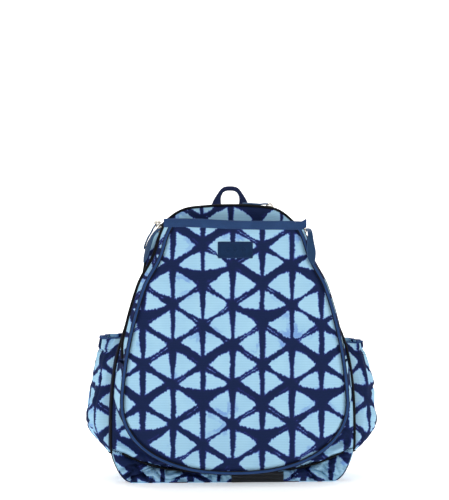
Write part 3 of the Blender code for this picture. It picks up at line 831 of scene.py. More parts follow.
def make_gussets():
    """The sleeve's side walls: one below the fold, and above it a front and a rear half each side."""
    path, front, line, rear = gusset_edges()
    limit = np.where(rear[:, 0] > 0, wall_edge(rear[:, 1], 1), wall_edge(rear[:, 1], -1))
    panel_y = -0.1004
    flap_y = np.full(len(path), FLAP_TAPE[0])
    wall_y = WALL_Y + 0.0060 - edge_puff(np.minimum(np.abs(limit - rear[:, 0]), rear[:, 1]))
    run = np.arange(len(path)) * GUSSET_STEP
    rows = np.linspace(0.0, 1.0, 9)
    belly = np.sin(rows * math.pi)[None, :]

    def wall(name, keep, first, second, y_start, y_end, body, node, seed):
        a, b = first[keep], second[keep]
        xz = a[:, None, :] * (1 - rows)[None, :, None] + b[:, None, :] * rows[None, :, None]
        out = outward(a)
        y = y_start + rows[None, :] * (y_end[keep][:, None] - y_start)
        flat = pairs(run[keep][:, None], y * 0.7 + 0.30)
        creases = fold_lines(flat[..., 0], y, 0.014, 2.5, seed) ** 2 * 0.0016 * belly
        lift = belly * 0.0012 - creases + 0.0008 * rough(flat, 0.03, seed) * belly
        points = np.stack([xz[..., 0] + out[:, None, 0] * lift, y, xz[..., 1] + out[:, None, 1] * lift], -1)
        piece = grid(name, points, flat, thick=0.0011, flip=True)
        finish_piece(piece, FABRIC, body, (node,))

    below = path[:, 1] < FLAP_Z - 0.0003
    wall("sleeve_gusset", below, front, rear, panel_y, wall_y, "front_door", "sleeve_gusset_lower", 2.0)
    for side, sign in SIDES:
        above = (path[:, 1] > FLAP_Z + 0.0003) & (path[:, 0] * sign > 0)
        wall(f"flap_side_{side}", above, front, line, panel_y, flap_y, "racket_flap",
             f"flap_gusset_{side}", 3.0 + sign)
        wall(f"door_side_{side}", above, line, rear, DOOR_TAPE[1], wall_y, "front_door",
             f"door_gusset_{side}", 6.0 + sign)


def teeth(name, path, y, sign, pitch=0.0022, size=(0.0013, 0.0011, 0.0021)):
    """A row of rounded zip teeth along a path; they point along Y."""
    path = resample(path, pitch)
    out = outward(path)
    along = np.column_stack([-out[:, 1], out[:, 0]])
    length, height, reach = size
    ring = [(-1, -0.55), (-0.55, -1), (0.55, -1), (1, -0.55), (1, 0.55), (0.55, 1), (-0.55, 1), (-1, 0.55)]
    vertices, faces = [], []
    for place, normal, run in zip(path, out, along):
        base = len(vertices)
        for end, grow in ((0.0, 1.0), (0.75, 1.0), (1.0, 0.6)):
            for a, b in ring:
                step = place + run * a * grow * length / 2 + normal * (b * grow * height / 2 + 0.0008)
                vertices.append((step[0], y + sign * reach * end, step[1]))
        for k in range(2):
            for j in range(8):
                i = base + 8 * k
                faces.append((i + j, i + (j + 1) % 8, i + 8 + (j + 1) % 8, i + 8 + j))
        faces.append(tuple(base + 16 + j for j in range(8)))
        faces.append(tuple(base + j for j in reversed(range(8))))
    if sign < 0:
        faces = [face[::-1] for face in faces]
    return make_mesh(name, vertices, faces)


def zip_half(name, path, y_range, body, node, sign, slack=0.0):
    """A zip tape with a row of teeth at its front edge (sign -1) or at its rear one (sign 1)."""
    path = resample(path, GUSSET_STEP)
    rows = np.linspace(0.0, 1.0, 4)
    y = y_range[0] + rows * (y_range[1] - y_range[0])
    points = np.zeros((len(path), len(rows), 3))
    lift = slack * np.sin(rows * math.pi)
    points[:, :, [0, 2]] = path[:, None, :] + outward(path)[:, None, :] * lift[None, :, None]
    points[..., 1] = y[None, :]
    flat = pairs(np.arange(len(path))[:, None] * GUSSET_STEP, y[None, :])
    finish_piece(grid(name, points, flat, thick=0.0008, flip=True), ZIP_TAPE, body, (node,))
    teeth_y = y_range[1] - 0.0012 if sign > 0 else y_range[0] + 0.0012
    finish_piece(teeth(name.replace("tape", "teeth"), path, teeth_y, sign), COIL, body)


def make_sleeve_zips():
    """The zips of both sides; the left one shows the edge of its tape beside the panel as two black cords,
    partly that edge and partly painted shade that widens its dark line.
    """
    path, _, line, _ = gusset_edges()
    for side, sign in SIDES:
        run = line[(path[:, 1] > FLAP_Z + 0.002) & (path[:, 0] * sign > 0)]
        zip_half(f"flap_tape_{side}", run, FLAP_TAPE, "racket_flap", f"flap_zip_tape_{side}", 1, ZIP_SLACK)
        if sign < 0:
            # these two black cords are partly the tape's edge and partly painted shade beside it, widening
            # the zip's dark line
            for k, width in enumerate((0.0012, 0.0030)):
                edge_and_shade = at_depth(run + outward(run) * width, FLAP_TAPE[1] - 0.0022)
                swept(f"zip_edge_and_shade_{k}", edge_and_shade, 0.0013, "racket_flap")
        zip_half(f"door_tape_{side}", run, DOOR_TAPE, "front_door", f"door_zip_tape_{side}", -1, ZIP_SLACK)


def sag(x, z):
    """The mouth's edge hangs lower towards its right end."""
    return z - 0.0042 * smooth((x + 0.11) / 0.22) * smooth((z - 0.33) / 0.06)


def make_band():
    """The woven band across the panel's top: it sags to its right end, where its corner turns up."""
    x = np.linspace(BAND_LOW.x - 0.001, BAND_HIGH.x + 0.001, 90)
    share = (x - x[0]) / (x[-1] - x[0])
    droop = 0.0007 * np.sin(share * 9.0) + 0.0040 * smooth((share - 0.965) / 0.035)
    profile = rounded(0.0030, BAND_HIGH.z - BAND_LOW.z + 0.0048, 0.0013, 3)
    sections = np.zeros((len(x), len(profile), 3))
    middle = (BAND_LOW.z + BAND_HIGH.z) / 2 + 0.0002
    sections[..., 0] = x[:, None]
    sections[..., 1] = (BAND_LOW.y + 0.0016) + profile[None, :, 0] + 0.0006 * np.sin(share * 14.0)[:, None]
    sections[..., 2] = sag(x[:, None], middle + profile[None, :, 1]) + droop[:, None]
    flat = pairs(x[:, None], sections[..., 2])
    finish_piece(tube("sleeve_band", sections, flat), BAND, "racket_flap", ("top_band",))
    for k, z in enumerate((middle - 0.0051, middle + 0.0049)):
        path = np.column_stack([x, np.full_like(x, BAND_LOW.y - 0.00005), sag(x, z) + droop])
        stitches(f"band_stitch_{k}", path, 0.0034, 0.00042, "racket_flap")


def stitches(name, path, pitch, thick, body, material=THREAD):
    """Short rounded threads along a 3-D path; each fills about two thirds of the pitch."""
    per, sides = 6, 6
    path = resample(path, pitch / per)
    vertices, faces = [], []
    for first in range(0, len(path) - per, per):
        run = path[first:first + 5]
        base = len(vertices)
        along = run[-1] - run[0]
        along /= np.linalg.norm(along)
        side = np.cross(along, (0.0, 1.0, 0.0))
        side /= max(np.linalg.norm(side), 1e-6)
        up = np.cross(side, along)
        for place, e in zip(run, np.linspace(0, 1, len(run))):
            size = thick / 2 * (0.35 + 0.65 * math.sin(math.pi * (0.12 + 0.76 * e)))
            for j in range(sides):
                angle = j * math.pi / 3
                vertices.append(place + side * size * math.cos(angle) + up * size * math.sin(angle))
        faces += [tuple(base + i for i in face) for face in grid_faces(len(run), sides, closed_columns=True)]
        faces.append(tuple(base + j for j in reversed(range(sides))))
        faces.append(tuple(base + sides * (len(run) - 1) + j for j in range(sides)))
    finish_piece(edit_mesh(make_mesh(name, vertices, faces), face_out), material, body)


def make_label():
    """A leather patch with a raised border and three small raised lozenges."""
    half_x = LABEL_HIGH.x + 0.0004
    half_z = (LABEL_HIGH.z - LABEL_LOW.z) / 2
    middle_z = (LABEL_HIGH.z + LABEL_LOW.z) / 2
    x = np.linspace(-half_x, half_x, 161)
    z = np.linspace(-half_z, half_z, 81)
    gx, gz = np.meshgrid(x, z)
    corner = 0.0014
    out_x = np.maximum(np.abs(gx) - (half_x - corner), 0.0)
    out_z = np.maximum(np.abs(gz) - (half_z - corner), 0.0)
    away = corner - np.sqrt(out_x ** 2 + out_z ** 2)
    squeeze = np.where(away < 0, corner / np.maximum(np.sqrt(out_x ** 2 + out_z ** 2), 1e-9), 1.0)
    gx = np.sign(gx) * (np.minimum(np.abs(gx), half_x - corner) + out_x * squeeze)
    gz = np.sign(gz) * (np.minimum(np.abs(gz), half_z - corner) + out_z * squeeze)
    edge = np.minimum(half_x - np.abs(gx), half_z - np.abs(gz))
    edge = np.minimum(edge, np.maximum(away, 0.0) + np.where((out_x > 0) & (out_z > 0), 0.0, 1.0))
    height = 0.0007 * smooth(edge / 0.0009)
    height += 0.0006 * np.exp(-((edge - 0.0026) / 0.0006) ** 2)
    for centre in (-0.0115, 0.0, 0.0115):
        lozenge = 1 - np.abs(gx - centre) / 0.0042 - np.abs(gz) / 0.0052
        height += 0.0007 * smooth(lozenge / 0.16) - 0.0007 * smooth((lozenge - 0.42) / 0.16)
    face = LABEL_LOW.y - 0.0004
    y = face + 0.0012 - height
    piece = grid("label", np.stack([gx, y, gz + middle_z], -1), pairs(gx, gz), thick=0.0012, flip=True)
    finish_piece(piece, LABEL, "racket_flap", ("label_patch",))
    inset = 0.0013
    run = rounded(2 * (half_x - inset), 2 * (half_z - inset), 0.0004, 6, (0.0, middle_z))
    path = at_depth(np.vstack([run, run[:1]]), face + 0.0003)
    stitches("label_stitches", path, 0.0026, 0.0004, "racket_flap")


# ------------------------------------------------------------------ the body
def body_loop():
    """The body's whole outline, anticlockwise from the middle of its base."""
    right = np.vstack([base_bowl()[len(base_bowl()) // 2:], body_side(BASE_SEAM, SHOULDER_Z)[1:],
                       body_arch()[1:len(body_arch()) // 2 + 1]])
    left = mirror(right)
    return np.vstack([right[:-1], left[:-1]])


def pocket_span(z):
    """How far the side wall bends in behind the pocket at a height, from 0 to 1."""
    t = np.clip((z - RECESS_Z[0]) / (RECESS_Z[1] - RECESS_Z[0]), 0.0, 1.0)
    return np.sin(math.pi * t) ** 2


def make_shell():
    """The stuffed body's side walls, roof and base as one sheet from front to back."""
    path = resample(body_loop(), SHELL_STEP, closed=True)
    out = outward(path, closed=True)
    rows = np.linspace(0.0, 1.0, 34)
    y = SHELL_Y[0] + rows * (SHELL_Y[1] - SHELL_Y[0])
    x = path[:, None, 0] * (1 + (REAR_X - 1) * rows[None, :])
    z = path[:, None, 1] * (1 + (REAR_Z - 1) * rows[None, :])
    run = np.arange(len(path)) * SHELL_STEP
    up, run, deep = np.broadcast_arrays(path[:, None, 1], run[:, None], y[None, :])
    side = np.abs(out[:, None, 0])
    t = np.clip((y - POCKET_Y[0]) / (POCKET_Y[1] - POCKET_Y[0]), 0.0, 1.0)
    recess = RECESS * np.sin(math.pi * t)[None, :] ** 2 * pocket_span(up) * smooth(side / 0.6)
    flat = pairs(run, deep * 0.9 + 0.5)
    swell = np.sin(rows * math.pi)[None, :]
    roof = smooth((up - 0.36) / 0.05)
    lift = swell * (0.0030 * side * (1 - smooth((up - 0.25) / 0.1)) - 0.0055 * roof * (1 - side))
    crease = fold_lines(run, deep, 0.030, 2.2, 4.0) ** 2
    crease_b = fold_lines(deep, run, 0.022, 3.0, 8.0) ** 2
    soft = swell * smooth((up - 0.01) / 0.03)
    lift = lift - soft * (0.0030 * crease + 0.0018 * crease_b)
    lift = lift + soft * (0.0030 * rough(flat, 0.06, 1.0) + 0.0012 * rough(flat, 0.02, 2.0))
    inward = np.where(up < 0.004, 0.0, lift) - recess
    points = np.zeros((*x.shape, 3))
    points[..., 1] = y[None, :]
    points[..., 2] = z + out[:, None, 1] * inward
    points[..., 0], points[..., 2] = settle(x + out[:, None, 0] * inward, points[..., 1], points[..., 2])
    points[..., 2] = np.maximum(points[..., 2], 0.0002)
    piece = grid("body_shell", points, flat, closed_rows=True, thick=0.0022, flip=True)
    finish_piece(piece, FABRIC, "root",
                 ("side_panel_left", "side_panel_right", "roof_panel", "base_panel"))
    for name, row, grow in (("piping_front", 0, 0.0006), ("piping_rear", -1, 0.0012)):
        swept(name, points[:, row], 0.0021, "root", push=out * grow, closed=True)


def swept(name, path, radius, body, material=ZIP_TAPE, push=None, closed=False):
    """A round cord through 3-D points in (x, y, z); push moves it outward in x and z."""
    path = np.array(path, float)
    if push is not None:
        path[:, [0, 2]] += push
    path[:, 2] = np.maximum(path[:, 2], radius + 0.0001)
    after, before = np.roll(path, -1, axis=0), np.roll(path, 1, axis=0)
    if not closed:
        after[-1], before[0] = path[-1], path[0]
    along = after - before
    along /= np.linalg.norm(along, axis=1)[:, None]
    side = np.cross(along, np.array([0.0, 1.0, 0.0]))
    side /= np.linalg.norm(side, axis=1)[:, None]
    up = np.cross(side, along)
    angle = np.arange(8) * math.pi / 4
    points = path[:, None, :] + radius * (side[:, None, :] * np.cos(angle)[None, :, None]
                                          + up[:, None, :] * np.sin(angle)[None, :, None])
    flat = pairs(run_along(path)[:, None], angle[None, :] * radius)
    if closed:
        piece = edit_mesh(grid(name, points, flat, closed_rows=True, closed_columns=True), face_out)
    else:
        piece = tube(name, points, flat)
    finish_piece(piece, material, body)


def base_seam(x):
    """Height of the seam that joins the base to the front: it climbs towards both sides."""
    climb = np.clip((np.abs(x) - 0.07) / 0.115, 0.0, 1.0)
    wander = rough(pairs(x, x * 0), 0.05, 4.4)
    return 0.0185 + 0.033 * climb ** 2 + 0.0022 * wander


def make_front():
    """The door's wall and the strip below its fold, one soft sheet round the sleeve's back."""
    loop = resample(body_loop(), 0.0024, closed=True)
    out = outward(loop, closed=True)
    loop = loop - out * 0.0008
    share = np.concatenate([[0.0, 0.012, 0.03], np.linspace(0.050, 0.5, 50), np.linspace(0.53, 1.0, 14)])
    points = np.zeros((len(share), len(loop), 3))
    xz, from_edge = inside_rim(loop, share, 0.16, 0.30)
    puff = edge_puff(from_edge)
    low = 1 - smooth((xz[..., 1] - 0.03) / 0.16)
    swell = rough(xz, 0.055, 2.2)
    crease = fold_lines(xz[..., 1], xz[..., 0], 0.022, 3.5, 7.7) ** 2
    above = xz[..., 1] - base_seam(xz[..., 0])
    foot = smooth((0.050 - xz[..., 1]) / 0.03)
    roll = np.exp(-(above / 0.0034) ** 2) - 0.5 * np.exp(-((above - 0.010) / 0.006) ** 2)
    slack = fold_lines(xz[..., 1] + 0.25 * np.abs(xz[..., 0]), xz[..., 0], 0.012, 2.4, 3.3) ** 2 * foot
    crumple = fold_lines(xz[..., 0] + 0.8 * xz[..., 1], xz[..., 1], 0.026, 2.2, 8.1) ** 2 * foot
    rise = puff + smooth(from_edge / 0.02) * (0.0020 * swell + low * (0.0030 - 0.0050 * crease))
    bulge = 0.0040 * foot * smooth(np.abs(above) / 0.006)
    rise = rise - smooth(from_edge / 0.008) * (0.0095 * roll + 0.0120 * slack + 0.0090 * crumple - bulge)
    points[..., 0] = xz[..., 0]
    points[..., 2] = np.maximum(xz[..., 1], 0.0004)
    points[..., 1] = WALL_Y + 0.0045 - rise
    patch_middle, patch_half = (PATCH_LOW.x + PATCH_HIGH.x) / 2, (PATCH_HIGH.x - PATCH_LOW.x) / 2
    beside = smooth((np.abs(xz[..., 0] - patch_middle) - patch_half - 0.008) / 0.008)
    free = np.maximum(beside, smooth((xz[..., 1] - PATCH_HIGH.z - 0.003) / 0.006))
    held = np.maximum(points[..., 1], PATCH_HIGH.y + 0.0002)
    points[..., 1] = points[..., 1] * free + held * (1 - free)
    points[..., 0], points[..., 2] = settle(points[..., 0], points[..., 1], points[..., 2])
    below = above < 0
    flat = pairs(xz[..., 0] + 0.019 * below, xz[..., 1] + 0.02 + 0.026 * below)
    piece = grid("front_wall_cloth", points, flat, closed_columns=True, thick=0.0030, flip=True)
    close_middle(piece, 0.07, 0.08, 0.27)
    finish_piece(piece, FABRIC, nodes=("front_wall", "base_front"))
    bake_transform(piece)


def make_base():
    """The black seam cord across the foot of the front, partly real piping and partly painted shade of the
    fold along the seam, and the cloth that wraps under the front's lower edge.
    """
    x = np.linspace(-0.172, 0.172, 160)
    z = base_seam(x)
    depth = 0.0014 * rough(pairs(x, x * 0), 0.03, 9.0)
    cord = np.column_stack([settle(x, WALL_Y, z)[0], WALL_Y + 0.0052 + depth, z])
    # the cord is partly real seam piping and partly a dark stand-in for the fold's shade: painted shade
    swept("seam_cord_and_fold_shade", cord, 0.0017, "root")
    path = resample(body_loop(), SHELL_STEP, closed=True)
    path = np.roll(path, len(path) // 2, axis=0)
    foot = path[path[:, 1] < DOOR_Z - 0.002]
    y = np.linspace(WALL_Y + 0.003, SHELL_Y[0] + 0.001, 8)
    points = np.zeros((len(foot), len(y), 3))
    points[..., 0] = settle(foot[:, 0], WALL_Y, foot[:, 1])[0][:, None]
    points[..., 1] = y[None, :]
    points[..., 2] = np.maximum(foot[:, 1], 0.0003)[:, None]
    flat = pairs(np.arange(len(foot))[:, None] * SHELL_STEP, y[None, :] + 0.3)
    wrap = grid("base_wrap", points, flat, thick=0.0015, flip=True)
    finish_piece(wrap, FABRIC, "root")


def make_main_zip():
    """The zip over the top and down both sides, and the piping of the door's edge beside it."""
    run = main_run(DOOR_Z)
    run = np.column_stack(settle(run[:, 0], WALL_Y, run[:, 1]))
    edge = resample(run, GUSSET_STEP)
    swept("door_piping", at_depth(edge, WALL_Y + 0.0040), 0.0019, "front_door", push=outward(edge) * 0.0006)
    zip_half("main_tape_front", run, MAIN_FRONT, "front_door", "main_zip_tape_front", 1)
    zip_half("main_tape_rear", run, MAIN_REAR, "root", "main_zip_tape_rear", -1)


# ------------------------------------------------------------------ side pockets
POCKET_BOTTOM = POCKET_LOW.z
HEM_Z = 0.2010                  # the line of stitching that gathers the elastic
BELLY_Z = 0.092                 # height where the pockets are widest
FOOT_HALF, BELLY_HALF, MOUTH_LEAN = 0.192, 0.228, 0.027


def pocket_half(z, wider):
    """Half the width over the pockets at a height; wider is added at the belly."""
    belly = BELLY_HALF + wider
    t = np.clip((z - POCKET_BOTTOM) / (BELLY_Z - POCKET_BOTTOM), 0.0, 1.0)
    low = FOOT_HALF + (belly - FOOT_HALF) * np.sin(t * math.pi / 2) ** 0.8
    high = belly - (MOUTH_LEAN + wider) * (np.clip(z - BELLY_Z, 0.0, None) / (POCKET_TOP - BELLY_Z)) ** 1.6
    return np.where(z < BELLY_Z, low, high)


def make_pockets():
    """Gathered pockets: an elastic line below a ruffled edge, and creases that fall from it."""
    count, levels = 150, 100
    y_mid = sum(POCKET_Y) / 2
    reach = (POCKET_Y[1] - POCKET_Y[0]) / 2
    t = np.linspace(0.0, 1.0, count)[None, :]
    level = np.linspace(0.0, 1.0, levels)[:, None]
    around = np.sin(math.pi * t)
    front_y = y_mid - reach * np.cos(math.pi * t)
    for side, sign, seed, wider, drop in (
            ("right", 1, 12.0, 0.0055, 0.0090), ("left", -1, 31.0, 0.0, 0.0015)):
        top = POCKET_TOP - drop + 0.0020 * (1 - around ** 0.5)
        top = top + 0.0012 * rough(pairs(t[0], t[0] * 0), 0.2, seed)
        z = POCKET_BOTTOM + level * (top - POCKET_BOTTOM)
        y = np.broadcast_to(front_y, z.shape)
        rearward = np.clip((y - SHELL_Y[0]) / (SHELL_Y[1] - SHELL_Y[0]), 0.0, 1.0)
        half = body_half(z) * (1 + (REAR_X - 1) * rearward)
        x = half + (pocket_half(z, wider) - half) * around ** 0.55
        girth = np.broadcast_to(run_along(pairs(x[levels // 3], y[levels // 3]))[None, :], z.shape)
        flat = pairs(girth + 0.1 * sign + (0.5 * COLUMN if sign < 0 else 0.0), z)
        gather = np.exp(-np.clip(HEM_Z - z, 0.0, None) / 0.035)
        wave = np.sin(girth * 2 * math.pi / 0.0125 + 2.6 * rough(pairs(girth, z * 0.25), 0.05, seed))
        deep = np.sin(girth * 2 * math.pi / 0.031 + 2.2 * rough(pairs(girth, z * 0.3), 0.06, seed + 3))
        ruffle = np.clip(z - HEM_Z, 0.0, None) / (POCKET_TOP - HEM_Z)
        lift = gather * (0.0011 * wave + 0.0022 * deep)
        lift += ruffle * (0.0016 * wave + 0.0022 * deep) - 0.0030 * np.exp(-((z - HEM_Z) / 0.0035) ** 2)
        fall = fold_lines(girth, z, 0.030, 4.0, seed) ** 2
        slant = fold_lines(z + girth * 0.6, girth, 0.026, 2.6, seed + 9) ** 2
        hang = -0.0038 * fall - 0.0026 * slant + 0.0030 * rough(flat, 0.045, seed)
        lift += smooth((HEM_Z - z) / 0.04) * hang + 0.0007 * rough(flat, 0.012, seed + 1)
        lift = lift * np.clip(around * 3.0, 0.0, 1.0) * smooth((z - POCKET_BOTTOM) / 0.012)
        points = np.stack([sign * (x + lift * around ** 0.3), y - lift * np.cos(math.pi * t) * 0.7, z], -1)
        points[..., 0] = sign * np.maximum(sign * points[..., 0], half * 0.985 + 0.001)
        piece = grid(f"side_pocket_{side}", points, flat, thick=0.0016, flip=sign > 0)
        finish_piece(piece, FABRIC, "root", (f"pocket_{side}", f"pocket_hem_{side}"))
        row = int(round((HEM_Z - POCKET_BOTTOM) / (POCKET_TOP - POCKET_BOTTOM) * (levels - 1)))
        for k, offset in enumerate((0, 2)):
            line = points[row + offset, 3:-3] + np.array([sign * 0.0003, 0.0, 0.0])
            stitches(f"hem_stitch_{side}_{k}", line, 0.0038, 0.0005, "root", DARK_THREAD)
        for name, edge in (("foot", points[0]), ("front", points[:, 0]), ("rear", points[:, -1])):
            swept(f"pocket_{name}_piping_{side}", edge, 0.0015, "root")
        # the left tape is thicker: it fills the dark band beside that pocket's front edge, partly dark cloth
        # and partly painted shade
        front = points[4:-8, 0] + np.array([sign * 0.0020, -0.0008, 0.0])
        thick = 0.0022 if sign < 0 else 0.0012
        swept(f"pocket_binding_{side}", front, thick, "root", WEBBING)
        swept(f"pocket_edge_{side}", points[-1], 0.0012, "root", BINDING)


# ------------------------------------------------------------------ hardware and pulls
def frame_of(centre, radius, angle):
    """A place on an arc with its outward and forward directions, as 3-D vectors."""
    out = Vector((math.cos(angle), 0.0, math.sin(angle)))
    along = Vector((-math.sin(angle), 0.0, math.cos(angle)))
    return Vector((centre[0], 0.0, centre[1])) + out * radius, out, along


def bevelled_plate(name, outline, thick, place, axes, bevel=0.0004):
    """A plate of a flat outline with bevelled edges; axes are its two flat directions and its thickness."""
    a, b, c = axes
    shape = bmesh.new()
    loops = []
    for level in (-thick / 2, thick / 2):
        loops.append([shape.verts.new(place + a * u + b * v + c * level) for u, v in outline])
    count = len(outline)
    for i in range(count):
        j = (i + 1) % count
        shape.faces.new((loops[0][i], loops[0][j], loops[1][j], loops[1][i]))
    shape.faces.new(loops[1])
    shape.faces.new(list(reversed(loops[0])))
    face_out(shape)
    sharp = [e for e in shape.edges if len(e.link_faces) == 2 and e.calc_face_angle(0.0) > 0.9]
    bmesh.ops.bevel(shape, geom=sharp, offset=bevel, segments=3, profile=0.5, affect="EDGES")
    mesh = bpy.data.meshes.new(name)
    shape.to_mesh(mesh)
    shape.free()
    return link(name, mesh)


def wire(name, points, radius, sides=10, closed=False):
    """A round wire through 3-D points."""
    points = [Vector(p) for p in points]
    count = len(points)
    sections = []
    normal = None
    for i, point in enumerate(points):
        after = points[(i + 1) % count] if closed else points[min(i + 1, count - 1)]
        before = points[i - 1] if closed or i else points[0]
        along = (after - before).normalized()
        if normal is None:
            normal = along.orthogonal().normalized()
        normal = (normal - along * normal.dot(along)).normalized()
        other = along.cross(normal)
        sections.append([point + (normal * math.cos(k * 2 * math.pi / sides)
                                  + other * math.sin(k * 2 * math.pi / sides)) * radius
                         for k in range(sides)])
    sections = np.array([[tuple(v) for v in loop] for loop in sections])
    if not closed:
        return tube(name, sections)
    return edit_mesh(grid(name, sections, closed_rows=True, closed_columns=True), face_out)


def capsule(length, width, waist=1.0, steps=7):
    """An outline with round ends; waist below 1 draws its middle in."""
    half, radius = length / 2 - width / 2, width / 2
    points = []
    for end in (1, -1):
        for i in range(steps + 1):
            angle = -math.pi / 2 + math.pi * i / steps
            points.append((end * (half + radius * math.cos(angle)), end * radius * math.sin(angle)))
    points.insert(steps + 1, (0.0, radius * waist))
    points.append((0.0, -radius * waist))
    return points


def make_slider(node, place, out, along, link_to, link_side, ring_half=0.0034, ring_wire=0.0010):
    """A zip slider: a waisted body, a bridge over it and a wire link to the pull."""
    across = Vector((0.0, 1.0, 0.0))
    base = place + out * 0.0026
    plate = bevelled_plate("plate", capsule(0.0120, 0.0084, 0.80), 0.0016, base, (along, across, out))
    post = bevelled_plate("post", capsule(0.0058, 0.0010), 0.0066, place - out * 0.0020,
                          (along, across, out), 0.0002)
    bridge = [base + out * (0.0006 + 0.0034 * math.sin(math.pi * t) ** 0.7) + along * (0.0046 - 0.0092 * t)
              for t in np.linspace(0.0, 1.0, 13)]
    bridge = wire("bridge", bridge, 0.0010, 8)
    hook = base + out * 0.0036
    reach = Vector(link_to) - hook
    axis = reach.normalized()
    side = Vector(link_side)
    side = (side - axis * side.dot(axis)).normalized()
    half = reach.length / 2 + 0.0016
    ring = []
    for a in np.linspace(0.0, 2 * math.pi, 28, endpoint=False):
        wide = ring_half * abs(math.sin(a)) ** 0.8 * math.copysign(1, math.sin(a))
        ring.append(hook + reach / 2 + axis * half * math.cos(a) + side * wide)
    parts = [plate, post, bridge, wire("link", ring, ring_wire, 8, closed=True)]
    finish_piece(join(f"{node}_body", parts), METAL, body_of(node), (node,))


def body_of(node):
    """The name of the moving body that a CAD node belongs to."""
    return frame["nodes"][node]["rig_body"]


def leaf_pull(node, route, widths, across, thick=0.0021):
    """A leaf-shaped leather pull with a rounded rim and a pressed line inside it."""
    coords = np.array(route, float)
    lengths = run_along(coords)
    total = lengths[-1]
    steps = 64
    across = Vector(across)
    sections, flats = [], []
    at = np.linspace(0.0, 1.0, steps)
    smooth_at = [spline_point(lengths, coords, total * t) for t in at]
    wide = [spline_point(lengths, np.array(widths)[:, None], total * t)[0] for t in at]
    wide = [spline_point(lengths, np.array(widths)[:, None], total * t)[0] for t in at]
    for i, t in enumerate(at):
        before, after = smooth_at[max(i - 1, 0)], smooth_at[min(i + 1, steps - 1)]
        along = Vector(after - before).normalized()
        through = along.cross(across).normalized()
        half = max(wide[i] / 2, 0.0008)
        end = min(t * total, (1 - t) * total)
        half *= math.sqrt(min(1.0, (end + 0.0004) / 0.0022))
        body = thick / 2 * math.sqrt(min(1.0, (end + 0.0004) / 0.0012))
        loop, flat = [], []
        for face in (1, -1):
            for k in range(17):
                u = -1 + 2 * k / 16
                rim = (1 - abs(u)) * half
                depth = body * dome(rim / 0.0009)
                groove = math.exp(-((min(rim, end) - 0.0022) / 0.00045) ** 2)
                crown = 0.0003 * (1 - u * u)
                depth = depth - 0.00028 * groove + crown * min(1.0, rim / 0.003)
                loop.append(Vector(smooth_at[i]) + across * (u * half * face) + through * (depth * face))
                flat.append((t * total, u * half))
        sections.append([tuple(v) for v in loop])
        flats.append(flat)
    piece = tube(f"{node}_leather", np.array(sections), np.array(flats))
    return finish_piece(piece, LEATHER, body_of(node), (node,))


def spline_point(lengths, values, at):
    """Catmull-Rom through values at the given lengths."""
    i = int(np.clip(np.searchsorted(lengths, at) - 1, 0, len(lengths) - 2))
    t = (at - lengths[i]) / (lengths[i + 1] - lengths[i])
    a, b = values[max(i - 1, 0)], values[i]
    c, d = values[i + 1], values[min(i + 2, len(values) - 1)]
    bend = (2 * a - 5 * b + 4 * c - d) * t ** 2 + (-a + 3 * b - 3 * c + d) * t ** 3
    return 0.5 * ((2 * b) + (-a + c) * t + bend)


FOLLOW = 0.6                            # share of the cloth's slump that a main slider follows at rest


def settled(spot):
    """Where a point of the front's cloth hangs."""
    x, z = settle(spot.x, WALL_Y, spot.z)
    return Vector((float(x), spot.y, float(z)))


# widths of a leaf pull at equal steps along it
PULL_WIDTH = (0.0085, 0.0092, 0.0098, 0.0135, 0.0150, 0.0125, 0.0030)


